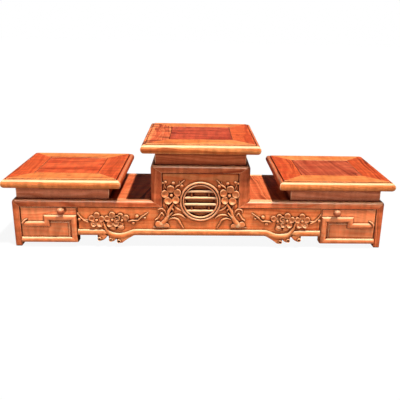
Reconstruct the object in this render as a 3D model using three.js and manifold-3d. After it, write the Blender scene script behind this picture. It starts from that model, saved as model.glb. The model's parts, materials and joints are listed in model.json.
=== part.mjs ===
// Tiered altar stand in carved hardwood, in millimetres, +Z up, front towards -Y.
// A long low base on four corner posts carries a raised block in the middle. The block and the
// two wings each carry a square platform on a recessed neck. A drawer slides in each wing.
import * as THREE from 'three';
import { ConvexGeometry } from 'three/addons/geometries/ConvexGeometry.js';
import { mergeVertices } from 'three/addons/utils/BufferGeometryUtils.js';
import Module from 'manifold-3d';

const wasm = await Module();
wasm.setup();

// Overall
const OVERALL_LENGTH = 810;
const WING_PLATFORM_SIDE = 242;
const CENTER_PLATFORM_LENGTH = 242;
const CENTER_PLATFORM_DEPTH = 250;
const PLATFORM_END_OVERHANG = 13.25;

// Base frame
const BASE_DEPTH = 216;
const BASE_HEIGHT = 104;
const POST_SIDE = 16;
const RAIL_HEIGHT = 14;
const BASE_CORNER_RADIUS = 8;
const ARRIS_RADIUS = 7;
const FOOT_ROUND = 5;

// Raised block
const BLOCK_LENGTH = 206.5;
const BLOCK_HEIGHT = 180;
const BLOCK_POST_LENGTH = 23.25;
const BLOCK_RAIL_HEIGHT = 15;
const BLOCK_CORNER_RADIUS = 11;

// Necks
const NECK_HEIGHT = 27.5;
const NECK_WALL = 14;
const NECK_INSET = 10;
const NECK_END_INSET = 9.4;
const WING_NECK_LENGTH = 191.4;

// Platform frames
const PLATFORM_THICKNESS = 20;
const EDGE_ROUND = 8;
const QUIRK_DEPTH = 1.2;
const FRAME_WIDTH = 55;
const GROOVE_TOP = 7;
const GROOVE_BOTTOM = 13;
const GROOVE_DEPTH = 6;
const PANEL_GAP = 0.4;

// Boards between the posts
const BOARD_RECESS = 1.6;
const FRONT_BOARD_THICKNESS = 20;
const BACK_BOARD_THICKNESS = 12;
const SIDE_BOARD_THICKNESS = 10;
const APRON_BOTTOM = 26.5;

// Raised mouldings on the front
const BEAD_WIDTH = 13;
const BEAD_HEIGHT = 3.2;
const FRET_WIDTH = 12.5;
const FRET_HEIGHT = 3.2;
const MOULDING_ROOT = 2;

// Round lattice on the front board
const RING_CENTER_HEIGHT = 103.3;
const OUTER_RING_RADIUS = 41.2;
const OUTER_RING_WIDTH = 5.6;
const INNER_RING_RADIUS = 36.6;
const INNER_RING_WIDTH = 3.8;
const LATTICE_RADIUS = 35;
const LATTICE_SINK = 6;
const LATTICE_BAR_WIDTH = 5.4;
const LATTICE_FAR_BAR = 21.6;
const LATTICE_NEAR_BAR = 7.1;
const LATTICE_UPRIGHT = 18.2;

// Three leaves that hang from the apron, placed from the drawer seam towards the middle
const LEAF_GROUP_FROM_SEAM = 40;
const BEAD_DIP_FROM_SEAM = 88.5;
const BEAD_DIP_DEPTH = 9.2;
const BEAD_MIDDLE_RISE = 1.2;

// Drawers
const DRAWER_FRONT_LENGTH = 118.25;
const DRAWER_GAP = 1.2;
const DRAWER_FRONT_BOTTOM = 9.5;
const DRAWER_BOX_BOTTOM = 24;
const DRAWER_BOX_TOP = 84;
const DRAWER_WALL = 7;
const DRAWER_FLOOR = 5;
const DRAWER_BOX_LENGTH = 172;
const DRAWER_SIDE_GAP = 1;
const RUNNER_THICKNESS = 6;
const DIVIDER_THICKNESS = 12;
const DIVIDER_STOP = 6.5;
const KNOB_FROM_SEAM = 31.2;
const KNOB_HEIGHT = 82;
const KNOB_RADIUS = 8.6;
const KNOB_STEM_RADIUS = 4.2;
const KNOB_STEM_LENGTH = 2.6;
const FRET_STEP_FROM_POST = 54.75;
const FRET_UPRIGHT_FROM_SEAM = 7.5;
const FRET_BOTTOM_HEIGHT = 16.2;
const FRET_SHORT_BAR_HEIGHT = 51.4;
const FRET_TOP_BAR_HEIGHT = 65.5;

// Sizes that follow from the ones above
const BASE_LENGTH = OVERALL_LENGTH - 2 * PLATFORM_END_OVERHANG;
const BASE_HALF = BASE_LENGTH / 2;
const DEPTH_HALF = BASE_DEPTH / 2;
const RAIL_BOTTOM = BASE_HEIGHT - RAIL_HEIGHT;
const POST_INNER = BASE_HALF - POST_SIDE;
const RAIL_INNER = DEPTH_HALF - POST_SIDE;
const BLOCK_HALF = BLOCK_LENGTH / 2;
const BLOCK_POST_INNER = BLOCK_HALF - BLOCK_POST_LENGTH;
const BLOCK_RAIL_BOTTOM = BLOCK_HEIGHT - BLOCK_RAIL_HEIGHT;
const FACE = DEPTH_HALF - BOARD_RECESS;
const FRONT_BOARD_BACK = FACE - FRONT_BOARD_THICKNESS;
const WING_PLATFORM_X = (OVERALL_LENGTH - WING_PLATFORM_SIDE) / 2;
const WING_NECK_X = BASE_HALF - NECK_END_INSET - WING_NECK_LENGTH / 2;
const DRAWER_SEAM = POST_INNER - DRAWER_FRONT_LENGTH;
const END_BOARD_OUTER = BASE_HALF - BOARD_RECESS;
const END_BOARD_INNER = END_BOARD_OUTER - SIDE_BOARD_THICKNESS;
const DIVIDER_OUTER = DRAWER_SEAM + DIVIDER_STOP;
const RUNNER_TOP = DRAWER_BOX_BOTTOM;
const RUNNER_BOTTOM = RUNNER_TOP - RUNNER_THICKNESS;

const WOOD = {
  top: { color: 0xd9682f, roughness: 0.32 },
  body: { color: 0xb9592c, roughness: 0.38 },
  neck: { color: 0x9c4d2a, roughness: 0.42 },
  inside: { color: 0xc08a5a, roughness: 0.6 },
};

const group = new THREE.Group();
group.name = 'tiered_altar_stand';

// Adds one finished solid to the stand under its own name.
function addPiece(name, geometry, wood) {
  const material = new THREE.MeshStandardMaterial({ ...WOOD[wood], metalness: 0 });
  const mesh = new THREE.Mesh(geometry, material);
  mesh.name = name;
  group.add(mesh);
}

// A box given by its lowest and highest corner.
function boxBetween(low, high) {
  const size = high.map((value, axis) => value - low[axis]);
  const box = new THREE.BoxGeometry(...size);
  return box.translate(...high.map((value, axis) => (value + low[axis]) / 2));
}

function toSolid(geometry) {
  const bare = geometry.clone();
  bare.deleteAttribute('normal');
  bare.deleteAttribute('uv');
  const welded = mergeVertices(bare, 1e-5);
  return new wasm.Manifold(new wasm.Mesh({
    numProp: 3,
    vertProperties: new Float32Array(welded.attributes.position.array),
    triVerts: new Uint32Array(welded.index.array),
  }));
}

function toGeometry(solid) {
  const mesh = solid.getMesh();
  const geometry = new THREE.BufferGeometry();
  geometry.setAttribute('position', new THREE.BufferAttribute(mesh.vertProperties, 3));
  geometry.setIndex(new THREE.BufferAttribute(mesh.triVerts, 1));
  const flat = geometry.toNonIndexed();
  flat.computeVertexNormals();
  return flat;
}

// The same geometry mirrored left to right, with its faces still looking outwards.
function mirrored(geometry) {
  const copy = geometry.index ? geometry.toNonIndexed() : geometry.clone();
  copy.deleteAttribute('uv');
  copy.scale(-1, 1, 1);
  const position = copy.attributes.position;
  for (let corner = 0; corner < position.count; corner += 3) {
    const second = [position.getX(corner + 1), position.getY(corner + 1), position.getZ(corner + 1)];
    position.setXYZ(corner + 1,
      position.getX(corner + 2), position.getY(corner + 2), position.getZ(corner + 2));
    position.setXYZ(corner + 2, ...second);
  }
  copy.computeVertexNormals();
  return copy;
}

// A closed solid through a row of equal polygons, each a list of [x, y, z].
function loft(rings, closed = false) {
  const count = rings[0].length;
  const positions = rings.flat().flat();
  const faces = [];
  const last = closed ? rings.length : rings.length - 1;
  for (let ring = 0; ring < last; ring += 1) {
    const here = ring * count;
    const next = ((ring + 1) % rings.length) * count;
    for (let side = 0; side < count; side += 1) {
      const after = (side + 1) % count;
      faces.push(here + side, here + after, next + after);
      faces.push(here + side, next + after, next + side);
    }
  }
  if (!closed) {
    const [first, end] = [rings[0], rings.at(-1)].map((ring) => ring.map((p) => new THREE.Vector3(...p)));
    const across = new THREE.Vector3().subVectors(end[0], first[0]).normalize();
    const flat = first.map((p) => p.clone().addScaledVector(across, -p.dot(across)));
    const along = new THREE.Vector3().subVectors(flat[1], flat[0]).normalize();
    const aside = new THREE.Vector3().crossVectors(across, along);
    const outline = flat.map((p) => new THREE.Vector2(p.dot(along), p.dot(aside)));
    const caps = THREE.ShapeUtils.triangulateShape(outline, []);
    const turn = THREE.ShapeUtils.isClockWise(outline);
    const base = (rings.length - 1) * count;
    for (const [a, b, c] of caps) {
      faces.push(...(turn ? [a, b, c] : [a, c, b]));
      faces.push(...(turn ? [base + a, base + c, base + b] : [base + a, base + b, base + c]));
    }
  }
  const geometry = new THREE.BufferGeometry();
  geometry.setAttribute('position', new THREE.Float32BufferAttribute(positions, 3));
  geometry.setIndex(faces);
  const solid = geometry.toNonIndexed();
  return volume(solid) < 0 ? turnedOutwards(solid) : solid;
}

function volume(geometry) {
  const position = geometry.attributes.position;
  const [a, b, c] = [new THREE.Vector3(), new THREE.Vector3(), new THREE.Vector3()];
  let total = 0;
  for (let corner = 0; corner < position.count; corner += 3) {
    a.fromBufferAttribute(position, corner);
    b.fromBufferAttribute(position, corner + 1);
    c.fromBufferAttribute(position, corner + 2);
    total += a.dot(b.cross(c)) / 6;
  }
  return total;
}

function turnedOutwards(geometry) {
  return mirrored(geometry.clone().scale(-1, 1, 1));
}

// A half-round moulding on the front face, through points [x, z] or [x, z, share of full size].
function moulding(path, width, height, closed = false, floor = -FACE) {
  const points = path.map(([x, z, share = 1]) => ({ at: new THREE.Vector2(x, z), share }));
  const steps = 6;
  const rings = points.map(({ at, share }, index) => {
    const before = points[closed ? (index + points.length - 1) % points.length : Math.max(index - 1, 0)].at;
    const after = points[closed ? (index + 1) % points.length : Math.min(index + 1, points.length - 1)].at;
    const into = at.clone().sub(before);
    const out = after.clone().sub(at);
    const first = into.lengthSq() > 0 ? into.normalize() : out.clone().normalize();
    const second = out.lengthSq() > 0 ? out.normalize() : first;
    const across = new THREE.Vector2(-(first.y + second.y), first.x + second.x).normalize();
    const stretch = 1 / Math.max(0.5, across.dot(new THREE.Vector2(-first.y, first.x)));
    const ring = [];
    for (let step = 0; step <= steps; step += 1) {
      const angle = (Math.PI * step) / steps;
      const sideways = Math.cos(angle) * (width / 2) * share * stretch;
      const proud = Math.sin(angle) * height * share;
      ring.push([at.x + across.x * sideways, floor - proud, at.y + across.y * sideways]);
    }
    for (const end of [-1, 1]) {
      const sideways = (end * width * share * stretch) / 2;
      ring.push([at.x + across.x * sideways, floor + MOULDING_ROOT, at.y + across.y * sideways]);
    }
    return ring;
  });
  return loft(rings, closed);
}

function circlePath(radius, count) {
  return Array.from({ length: count }, (_, index) => {
    const angle = (2 * Math.PI * index) / count;
    return [radius * Math.cos(angle), RING_CENTER_HEIGHT + radius * Math.sin(angle)];
  });
}

// An upright board with its face outline in x and z, its front at y = front.
function boardFrom(shape, front, thickness) {
  const board = new THREE.ExtrudeGeometry(shape, { depth: thickness, bevelEnabled: false, curveSegments: 6 });
  board.rotateX(Math.PI / 2);
  return board.translate(0, front + thickness, 0);
}

// A block with rounded upright corners and rounded top and bottom edges.
function roundedBody(length, depth, low, high, cornerRadius) {
  const [x, y] = [length / 2 - ARRIS_RADIUS, depth / 2 - ARRIS_RADIUS];
  const r = cornerRadius - ARRIS_RADIUS;
  const plan = new THREE.Shape();
  plan.absarc(x - r, y - r, r, 0, Math.PI / 2);
  plan.absarc(-x + r, y - r, r, Math.PI / 2, Math.PI);
  plan.absarc(-x + r, -y + r, r, Math.PI, 1.5 * Math.PI);
  plan.absarc(x - r, -y + r, r, 1.5 * Math.PI, 2 * Math.PI);
  const body = new THREE.ExtrudeGeometry(plan, {
    depth: high - low - 2 * ARRIS_RADIUS,
    bevelThickness: ARRIS_RADIUS,
    bevelSize: ARRIS_RADIUS,
    bevelSegments: 5,
    curveSegments: 5,
  });
  return body.translate(0, 0, low + ARRIS_RADIUS);
}

// The corner points of a foot whose lower end is rounded towards the middle of its plan.
function roundedFoot(plan) {
  const count = plan.length;
  const middle = [0, 1].map((axis) => plan.reduce((sum, point) => sum + point[axis], 0) / count);
  const steps = 3;
  const corners = [];
  for (let step = 0; step <= steps; step += 1) {
    const angle = (Math.PI / 2) * (step / steps);
    const inset = FOOT_ROUND * (1 - Math.sin(angle));
    const height = FOOT_ROUND * (1 - Math.cos(angle));
    for (const point of plan) {
      const [x, y] = point.map((value, axis) => value + Math.sign(middle[axis] - value) * inset);
      corners.push([x, y, height]);
    }
  }
  return corners;
}

// A frame member as the hull of its corners, with its outer edges eased by the rounded body.
function member(corners, body) {
  const hull = new ConvexGeometry(corners.map((corner) => new THREE.Vector3(...corner)));
  return toGeometry(toSolid(hull).intersect(body));
}

const sides = { left: -1, right: 1 };
const faces = { front: -1, back: 1 };
const baseBody = toSolid(roundedBody(BASE_LENGTH, BASE_DEPTH, -BASE_HEIGHT, BASE_HEIGHT, BASE_CORNER_RADIUS));
const blockBody = toSolid(roundedBody(BLOCK_LENGTH, BASE_DEPTH, -BLOCK_HEIGHT, BLOCK_HEIGHT, BLOCK_CORNER_RADIUS));

// Base frame: corner posts, wing rails and end rails meet in three-way mitres
function buildBaseFrame() {
  for (const [side, sx] of Object.entries(sides)) {
    for (const [face, sy] of Object.entries(faces)) {
      const apex = [sx * BASE_HALF, sy * DEPTH_HALF, BASE_HEIGHT];
      const plan = [
        [sx * BASE_HALF, sy * DEPTH_HALF],
        [sx * POST_INNER, sy * DEPTH_HALF],
        [sx * POST_INNER, sy * RAIL_INNER],
        [sx * BASE_HALF, sy * RAIL_INNER],
      ];
      const postCorners = [...roundedFoot(plan), ...plan.map(([x, y]) => [x, y, RAIL_BOTTOM])];
      addPiece(`${side}_${face}_post`, member([...postCorners, apex], baseBody), 'body');

      const railEnd = [DEPTH_HALF, RAIL_INNER].flatMap((y) => [
        [sx * POST_INNER, sy * y, BASE_HEIGHT],
        [sx * POST_INNER, sy * y, RAIL_BOTTOM],
        [sx * BLOCK_HALF, sy * y, BASE_HEIGHT],
        [sx * BLOCK_POST_INNER, sy * y, RAIL_BOTTOM],
      ]);
      addPiece(`${side}_${face}_rail`, member([...railEnd, apex], baseBody), 'body');
    }
    const endCorners = [-1, 1].flatMap((sy) => [
      [sx * BASE_HALF, sy * DEPTH_HALF, BASE_HEIGHT],
      [sx * BASE_HALF, sy * RAIL_INNER, BASE_HEIGHT],
      [sx * BASE_HALF, sy * RAIL_INNER, RAIL_BOTTOM],
      [sx * POST_INNER, sy * RAIL_INNER, BASE_HEIGHT],
      [sx * POST_INNER, sy * RAIL_INNER, RAIL_BOTTOM],
    ]);
    addPiece(`${side}_end_rail`, member(endCorners, baseBody), 'body');
    const endBoard = boxBetween(
      [END_BOARD_INNER, -RAIL_INNER, RUNNER_BOTTOM],
      [END_BOARD_OUTER, RAIL_INNER, RAIL_BOTTOM],
    );
    addPiece(`${side}_end_board`, side === 'left' ? mirrored(endBoard) : endBoard, 'body');
    const deck = boxBetween(
      [BLOCK_POST_INNER, -RAIL_INNER, RAIL_BOTTOM],
      [POST_INNER, RAIL_INNER, BASE_HEIGHT],
    );
    addPiece(`${side}_deck`, side === 'left' ? mirrored(deck) : deck, 'top');
  }
}

// Raised block: four posts stand in the mitred rails and carry a mitred top frame
function buildBlock() {
  for (const [side, sx] of Object.entries(sides)) {
    for (const [face, sy] of Object.entries(faces)) {
      const corners = [DEPTH_HALF, RAIL_INNER].flatMap((y) => [
        [sx * BLOCK_HALF, sy * y, BASE_HEIGHT],
        [sx * BLOCK_POST_INNER, sy * y, RAIL_BOTTOM],
        [sx * BLOCK_HALF, sy * y, BLOCK_RAIL_BOTTOM],
        [sx * BLOCK_POST_INNER, sy * y, BLOCK_RAIL_BOTTOM],
      ]);
      const apex = [sx * BLOCK_HALF, sy * DEPTH_HALF, BLOCK_HEIGHT];
      addPiece(`block_${side}_${face}_post`, member([...corners, apex], blockBody), 'body');
    }
    const sideCorners = [-1, 1].flatMap((sy) => [
      [sx * BLOCK_HALF, sy * DEPTH_HALF, BLOCK_HEIGHT],
      [sx * BLOCK_HALF, sy * RAIL_INNER, BLOCK_HEIGHT],
      [sx * BLOCK_HALF, sy * RAIL_INNER, BLOCK_RAIL_BOTTOM],
      [sx * BLOCK_POST_INNER, sy * RAIL_INNER, BLOCK_HEIGHT],
      [sx * BLOCK_POST_INNER, sy * RAIL_INNER, BLOCK_RAIL_BOTTOM],
    ]);
    addPiece(`block_${side}_rail`, member(sideCorners, blockBody), 'body');
    const outer = BLOCK_HALF - BOARD_RECESS;
    const board = boxBetween(
      [outer - SIDE_BOARD_THICKNESS, -RAIL_INNER, BASE_HEIGHT],
      [outer, RAIL_INNER, BLOCK_RAIL_BOTTOM],
    );
    addPiece(`block_${side}_board`, side === 'left' ? mirrored(board) : board, 'body');
  }
  for (const [face, sy] of Object.entries(faces)) {
    const railCorners = [-1, 1].flatMap((sx) => [
      [sx * BLOCK_HALF, sy * DEPTH_HALF, BLOCK_HEIGHT],
      [sx * BLOCK_POST_INNER, sy * DEPTH_HALF, BLOCK_HEIGHT],
      [sx * BLOCK_POST_INNER, sy * DEPTH_HALF, BLOCK_RAIL_BOTTOM],
      [sx * BLOCK_POST_INNER, sy * RAIL_INNER, BLOCK_HEIGHT],
      [sx * BLOCK_POST_INNER, sy * RAIL_INNER, BLOCK_RAIL_BOTTOM],
    ]);
    addPiece(`block_${face}_rail`, member(railCorners, blockBody), 'body');
  }
}

// The stepped upper outline that the front and back board share, from right to left.
function addSteppedTop(shape, half) {
  shape.lineTo(half, RAIL_BOTTOM);
  shape.lineTo(BLOCK_POST_INNER, RAIL_BOTTOM);
  shape.lineTo(BLOCK_POST_INNER, BLOCK_RAIL_BOTTOM);
  shape.lineTo(-BLOCK_POST_INNER, BLOCK_RAIL_BOTTOM);
  shape.lineTo(-BLOCK_POST_INNER, RAIL_BOTTOM);
  shape.lineTo(-half, RAIL_BOTTOM);
}

// The three hanging leaves of one side, from the middle outwards. Each is [in from the outer end of
// the group, height]: it leaves the edge at its notch, swells to its tip and comes back to its end.
const LEAVES = [
  { notch: [79.5, APRON_BOTTOM], bend: [67.5, 23.5], tip: [49.5, 8.5], belly: [41, 8.5], end: [40.5, 17] },
  { notch: [39, 17.5], bend: [36.5, 12.5], tip: [29.5, 11.5], belly: [24, 12], end: [23.5, 23.5] },
  { notch: [21.5, 24.5], bend: [15.5, 16.5], tip: [6.5, 13.2], belly: [0.5, 14], end: [0, APRON_BOTTOM] },
];

function frontOutline() {
  const half = DRAWER_SEAM - DRAWER_GAP / 2;
  const outer = DRAWER_SEAM - LEAF_GROUP_FROM_SEAM;
  const right = ([inset, height]) => [outer - inset, height];
  const left = ([inset, height]) => [inset - outer, height];
  const shape = new THREE.Shape();
  shape.moveTo(0, APRON_BOTTOM);
  for (const { notch, bend, tip, belly, end } of LEAVES) {
    shape.lineTo(...right(notch));
    shape.quadraticCurveTo(...right(bend), ...right(tip));
    shape.quadraticCurveTo(...right(belly), ...right(end));
  }
  shape.lineTo(half, APRON_BOTTOM);
  addSteppedTop(shape, half);
  shape.lineTo(-half, APRON_BOTTOM);
  for (const { notch, bend, tip, belly, end } of [...LEAVES].reverse()) {
    shape.lineTo(...left(end));
    shape.quadraticCurveTo(...left(belly), ...left(tip));
    shape.quadraticCurveTo(...left(bend), ...left(notch));
  }
  return shape;
}

// The bead along the lower edge: level in the middle, one dip over the leaves, level at the end.
function beadPath() {
  const wing = APRON_BOTTOM + BEAD_WIDTH / 2;
  const middle = wing + BEAD_MIDDLE_RISE;
  const dip = DRAWER_SEAM - BEAD_DIP_FROM_SEAM;
  const half = new THREE.SplineCurve([
    new THREE.Vector2(dip - 35, middle),
    new THREE.Vector2(dip - 26, middle - 0.15 * BEAD_DIP_DEPTH),
    new THREE.Vector2(dip - 14, middle - 0.7 * BEAD_DIP_DEPTH),
    new THREE.Vector2(dip, middle - BEAD_DIP_DEPTH),
    new THREE.Vector2(dip + 15, middle - 0.83 * BEAD_DIP_DEPTH),
    new THREE.Vector2(dip + 27, wing - 0.22 * BEAD_DIP_DEPTH),
    new THREE.Vector2(dip + 39, wing),
  ]).getPoints(20).map((point) => [point.x, point.y]);
  const right = [...half, [DRAWER_SEAM - DRAWER_GAP / 2, wing]];
  const left = right.map(([x, z]) => [-x, z]).reverse();
  return [...left, ...right];
}

function latticeBars() {
  const [far, near] = [LATTICE_FAR_BAR, LATTICE_NEAR_BAR];
  const chord = (height) => Math.sqrt(LATTICE_RADIUS ** 2 - height ** 2) + 1;
  const bars = [];
  for (const height of [-far, -near, near, far]) {
    const half = chord(height);
    bars.push([[-half, RING_CENTER_HEIGHT + height], [half, RING_CENTER_HEIGHT + height]]);
  }
  for (const sx of [-1, 1]) {
    for (const sz of [-1, 1]) {
      const x = sx * LATTICE_UPRIGHT;
      bars.push([[x, RING_CENTER_HEIGHT + sz * near], [x, RING_CENTER_HEIGHT + sz * far]]);
    }
    const edge = sx * (LATTICE_RADIUS - 2);
    bars.push([[edge, RING_CENTER_HEIGHT - near], [edge, RING_CENTER_HEIGHT + near]]);
  }
  return bars;
}

// Front board: one carved board with bead, hanging leaves and a sunk round lattice
function buildFrontBoard() {
  let board = toSolid(boardFrom(frontOutline(), -FACE, FRONT_BOARD_THICKNESS));
  const sink = new THREE.CylinderGeometry(LATTICE_RADIUS, LATTICE_RADIUS, 2 * LATTICE_SINK, 48);
  board = board.subtract(toSolid(sink.translate(0, -FACE, RING_CENTER_HEIGHT)));
  const floor = -FACE + LATTICE_SINK;
  for (const bar of latticeBars()) {
    board = board.add(toSolid(moulding(bar, LATTICE_BAR_WIDTH, LATTICE_SINK - 0.8, false, floor)));
  }
  board = board.add(toSolid(moulding(circlePath(OUTER_RING_RADIUS, 48), OUTER_RING_WIDTH, 3, true)));
  board = board.add(toSolid(moulding(circlePath(INNER_RING_RADIUS, 48), INNER_RING_WIDTH, 1.6, true)));
  board = board.add(toSolid(moulding(beadPath(), BEAD_WIDTH, BEAD_HEIGHT)));
  addPiece('front_board', toGeometry(board), 'body');
}

function buildBackBoard() {
  const shape = new THREE.Shape();
  shape.moveTo(POST_INNER, APRON_BOTTOM);
  addSteppedTop(shape, POST_INNER);
  shape.lineTo(-POST_INNER, APRON_BOTTOM);
  addPiece('back_board', boardFrom(shape, FACE - BACK_BOARD_THICKNESS, BACK_BOARD_THICKNESS), 'body');
}

// The fret on the right-hand drawer front: beaked short bar, step up, top bar, upright, bottom bar.
function fretPath() {
  const step = POST_INNER - FRET_STEP_FROM_POST;
  const upright = DRAWER_SEAM + FRET_UPRIGHT_FROM_SEAM;
  return [
    [POST_INNER - 1.75, FRET_SHORT_BAR_HEIGHT + 1.1, 0.25],
    [POST_INNER - 5.75, FRET_SHORT_BAR_HEIGHT + 0.2, 0.75],
    [POST_INNER - 11.75, FRET_SHORT_BAR_HEIGHT],
    [step, FRET_SHORT_BAR_HEIGHT],
    [step, FRET_TOP_BAR_HEIGHT],
    [upright, FRET_TOP_BAR_HEIGHT],
    [upright, FRET_BOTTOM_HEIGHT],
    [POST_INNER - DRAWER_GAP, FRET_BOTTOM_HEIGHT],
  ];
}

// The small hook that curls over the pointed end of the short bar.
function fretBeak() {
  return [
    [POST_INNER - 14.75, FRET_SHORT_BAR_HEIGHT + 10.1, 0.2],
    [POST_INNER - 9.75, FRET_SHORT_BAR_HEIGHT + 8.4, 0.35],
    [POST_INNER - 5.75, FRET_SHORT_BAR_HEIGHT + 4.1, 0.4],
    [POST_INNER - 3.75, FRET_SHORT_BAR_HEIGHT - 0.4, 0.3],
  ];
}

function drawerPieces() {
  const outer = POST_INNER - DRAWER_GAP / 2;
  const inner = DRAWER_SEAM + DRAWER_GAP / 2;
  const boxOuter = POST_INNER - DRAWER_SIDE_GAP;
  const boxInner = DIVIDER_OUTER + DRAWER_SIDE_GAP;
  const start = -FRONT_BOARD_BACK;
  const end = start + DRAWER_BOX_LENGTH;
  const frontTop = RAIL_BOTTOM - DRAWER_GAP;

  let front = toSolid(boxBetween([inner, -FACE, DRAWER_FRONT_BOTTOM], [outer, start, frontTop]));
  front = front.add(toSolid(moulding(fretPath(), FRET_WIDTH, FRET_HEIGHT)));
  front = front.add(toSolid(moulding(fretBeak(), FRET_WIDTH, FRET_HEIGHT + 1)));

  const knobBody = [new THREE.Vector2(0, 0), new THREE.Vector2(KNOB_STEM_RADIUS, 0)];
  const middle = KNOB_STEM_LENGTH + KNOB_RADIUS - 1;
  const lowest = -Math.acos(KNOB_STEM_RADIUS / KNOB_RADIUS);
  const steps = 9;
  for (let step = 0; step <= steps; step += 1) {
    const angle = lowest + ((Math.PI / 2 - lowest) * step) / steps;
    const radius = step === steps ? 0 : KNOB_RADIUS * Math.cos(angle);
    knobBody.push(new THREE.Vector2(radius, middle + 0.92 * KNOB_RADIUS * Math.sin(angle)));
  }
  const knob = new THREE.LatheGeometry(knobBody, 24);
  knob.rotateX(Math.PI);
  knob.translate(DRAWER_SEAM + KNOB_FROM_SEAM, -FACE, KNOB_HEIGHT);

  return {
    front: toGeometry(front),
    knob: toGeometry(toSolid(knob)),
    outer_side: boxBetween([boxOuter - DRAWER_WALL, start, DRAWER_BOX_BOTTOM], [boxOuter, end, DRAWER_BOX_TOP]),
    inner_side: boxBetween([boxInner, start, DRAWER_BOX_BOTTOM], [boxInner + DRAWER_WALL, end, DRAWER_BOX_TOP]),
    back: boxBetween(
      [boxInner + DRAWER_WALL, end - DRAWER_WALL, DRAWER_BOX_BOTTOM],
      [boxOuter - DRAWER_WALL, end, DRAWER_BOX_TOP],
    ),
    bottom: boxBetween(
      [boxInner + DRAWER_WALL, start, DRAWER_BOX_BOTTOM],
      [boxOuter - DRAWER_WALL, end - DRAWER_WALL, DRAWER_BOX_BOTTOM + DRAWER_FLOOR],
    ),
  };
}

function buildDrawers() {
  const pieces = drawerPieces();
  for (const side of Object.keys(sides)) {
    for (const [part, geometry] of Object.entries(pieces)) {
      const wood = part === 'front' || part === 'knob' ? 'body' : 'inside';
      const shown = side === 'left' ? mirrored(geometry) : geometry;
      addPiece(`${side}_drawer_${part}`, shown, wood);
    }
    const divider = boxBetween(
      [DIVIDER_OUTER - DIVIDER_THICKNESS, -FRONT_BOARD_BACK, RUNNER_BOTTOM],
      [DIVIDER_OUTER, FACE - BACK_BOARD_THICKNESS, RAIL_BOTTOM],
    );
    const runner = boxBetween(
      [DIVIDER_OUTER, -FRONT_BOARD_BACK, RUNNER_BOTTOM],
      [END_BOARD_INNER, RAIL_INNER, RUNNER_TOP],
    );
    addPiece(`${side}_drawer_divider`, side === 'left' ? mirrored(divider) : divider, 'inside');
    addPiece(`${side}_drawer_runner`, side === 'left' ? mirrored(runner) : runner, 'inside');
  }
}

// Cross-section of a platform frame member: [distance in from the outer edge, height below the top].
function frameSection() {
  const section = [[FRAME_WIDTH, 0], [EDGE_ROUND, 0]];
  const steps = 8;
  const halfHeight = (PLATFORM_THICKNESS - QUIRK_DEPTH) / 2;
  for (let step = 0; step <= steps; step += 1) {
    const angle = (Math.PI * step) / steps;
    section.push([
      EDGE_ROUND * (1 - Math.sin(angle)),
      QUIRK_DEPTH + halfHeight * (1 - Math.cos(angle)),
    ]);
  }
  section.push(
    [FRAME_WIDTH, PLATFORM_THICKNESS],
    [FRAME_WIDTH, GROOVE_BOTTOM],
    [FRAME_WIDTH - GROOVE_DEPTH, GROOVE_BOTTOM],
    [FRAME_WIDTH - GROOVE_DEPTH, GROOVE_TOP],
    [FRAME_WIDTH, GROOVE_TOP],
  );
  return section;
}

// A mitred member along X; half is half the platform along the member, reach half across it.
function mitredMember(half, reach, top) {
  const section = frameSection();
  const end = (sx) => section.map(([inset, drop]) => [sx * (half - inset), -(reach - inset), top - drop]);
  return loft([end(-1), end(1)]);
}

function buildPlatform(name, centerX, length, depth, top) {
  const [halfX, halfY] = [length / 2, depth / 2];
  const parts = {
    front_rail: mitredMember(halfX, halfY, top),
    back_rail: mitredMember(halfX, halfY, top).rotateZ(Math.PI),
    left_stile: mitredMember(halfY, halfX, top).rotateZ(-Math.PI / 2),
    right_stile: mitredMember(halfY, halfX, top).rotateZ(Math.PI / 2),
  };
  const inset = FRAME_WIDTH + PANEL_GAP;
  const tongueInset = FRAME_WIDTH - GROOVE_DEPTH + PANEL_GAP;
  const field = boxBetween(
    [-halfX + inset, -halfY + inset, top - GROOVE_BOTTOM],
    [halfX - inset, halfY - inset, top],
  );
  const tongue = boxBetween(
    [-halfX + tongueInset, -halfY + tongueInset, top - GROOVE_BOTTOM],
    [halfX - tongueInset, halfY - tongueInset, top - GROOVE_TOP - PANEL_GAP],
  );
  parts.panel = toGeometry(toSolid(field).add(toSolid(tongue)));
  for (const [part, geometry] of Object.entries(parts)) {
    addPiece(`${name}_platform_${part}`, geometry.translate(centerX, 0, 0), 'top');
  }
}

function buildNeck(name, centerX, length, bottom) {
  const depth = BASE_DEPTH - 2 * NECK_INSET;
  const plan = new THREE.Shape();
  const rectangle = (path, halfX, halfY) => {
    path.moveTo(-halfX, -halfY);
    path.lineTo(halfX, -halfY);
    path.lineTo(halfX, halfY);
    path.lineTo(-halfX, halfY);
  };
  rectangle(plan, length / 2, depth / 2);
  const hollow = new THREE.Path();
  rectangle(hollow, length / 2 - NECK_WALL, depth / 2 - NECK_WALL);
  plan.holes.push(hollow);
  const neck = new THREE.ExtrudeGeometry(plan, { depth: NECK_HEIGHT, bevelEnabled: false });
  addPiece(`${name}_neck`, neck.translate(centerX, 0, bottom), 'neck');
}

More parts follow.
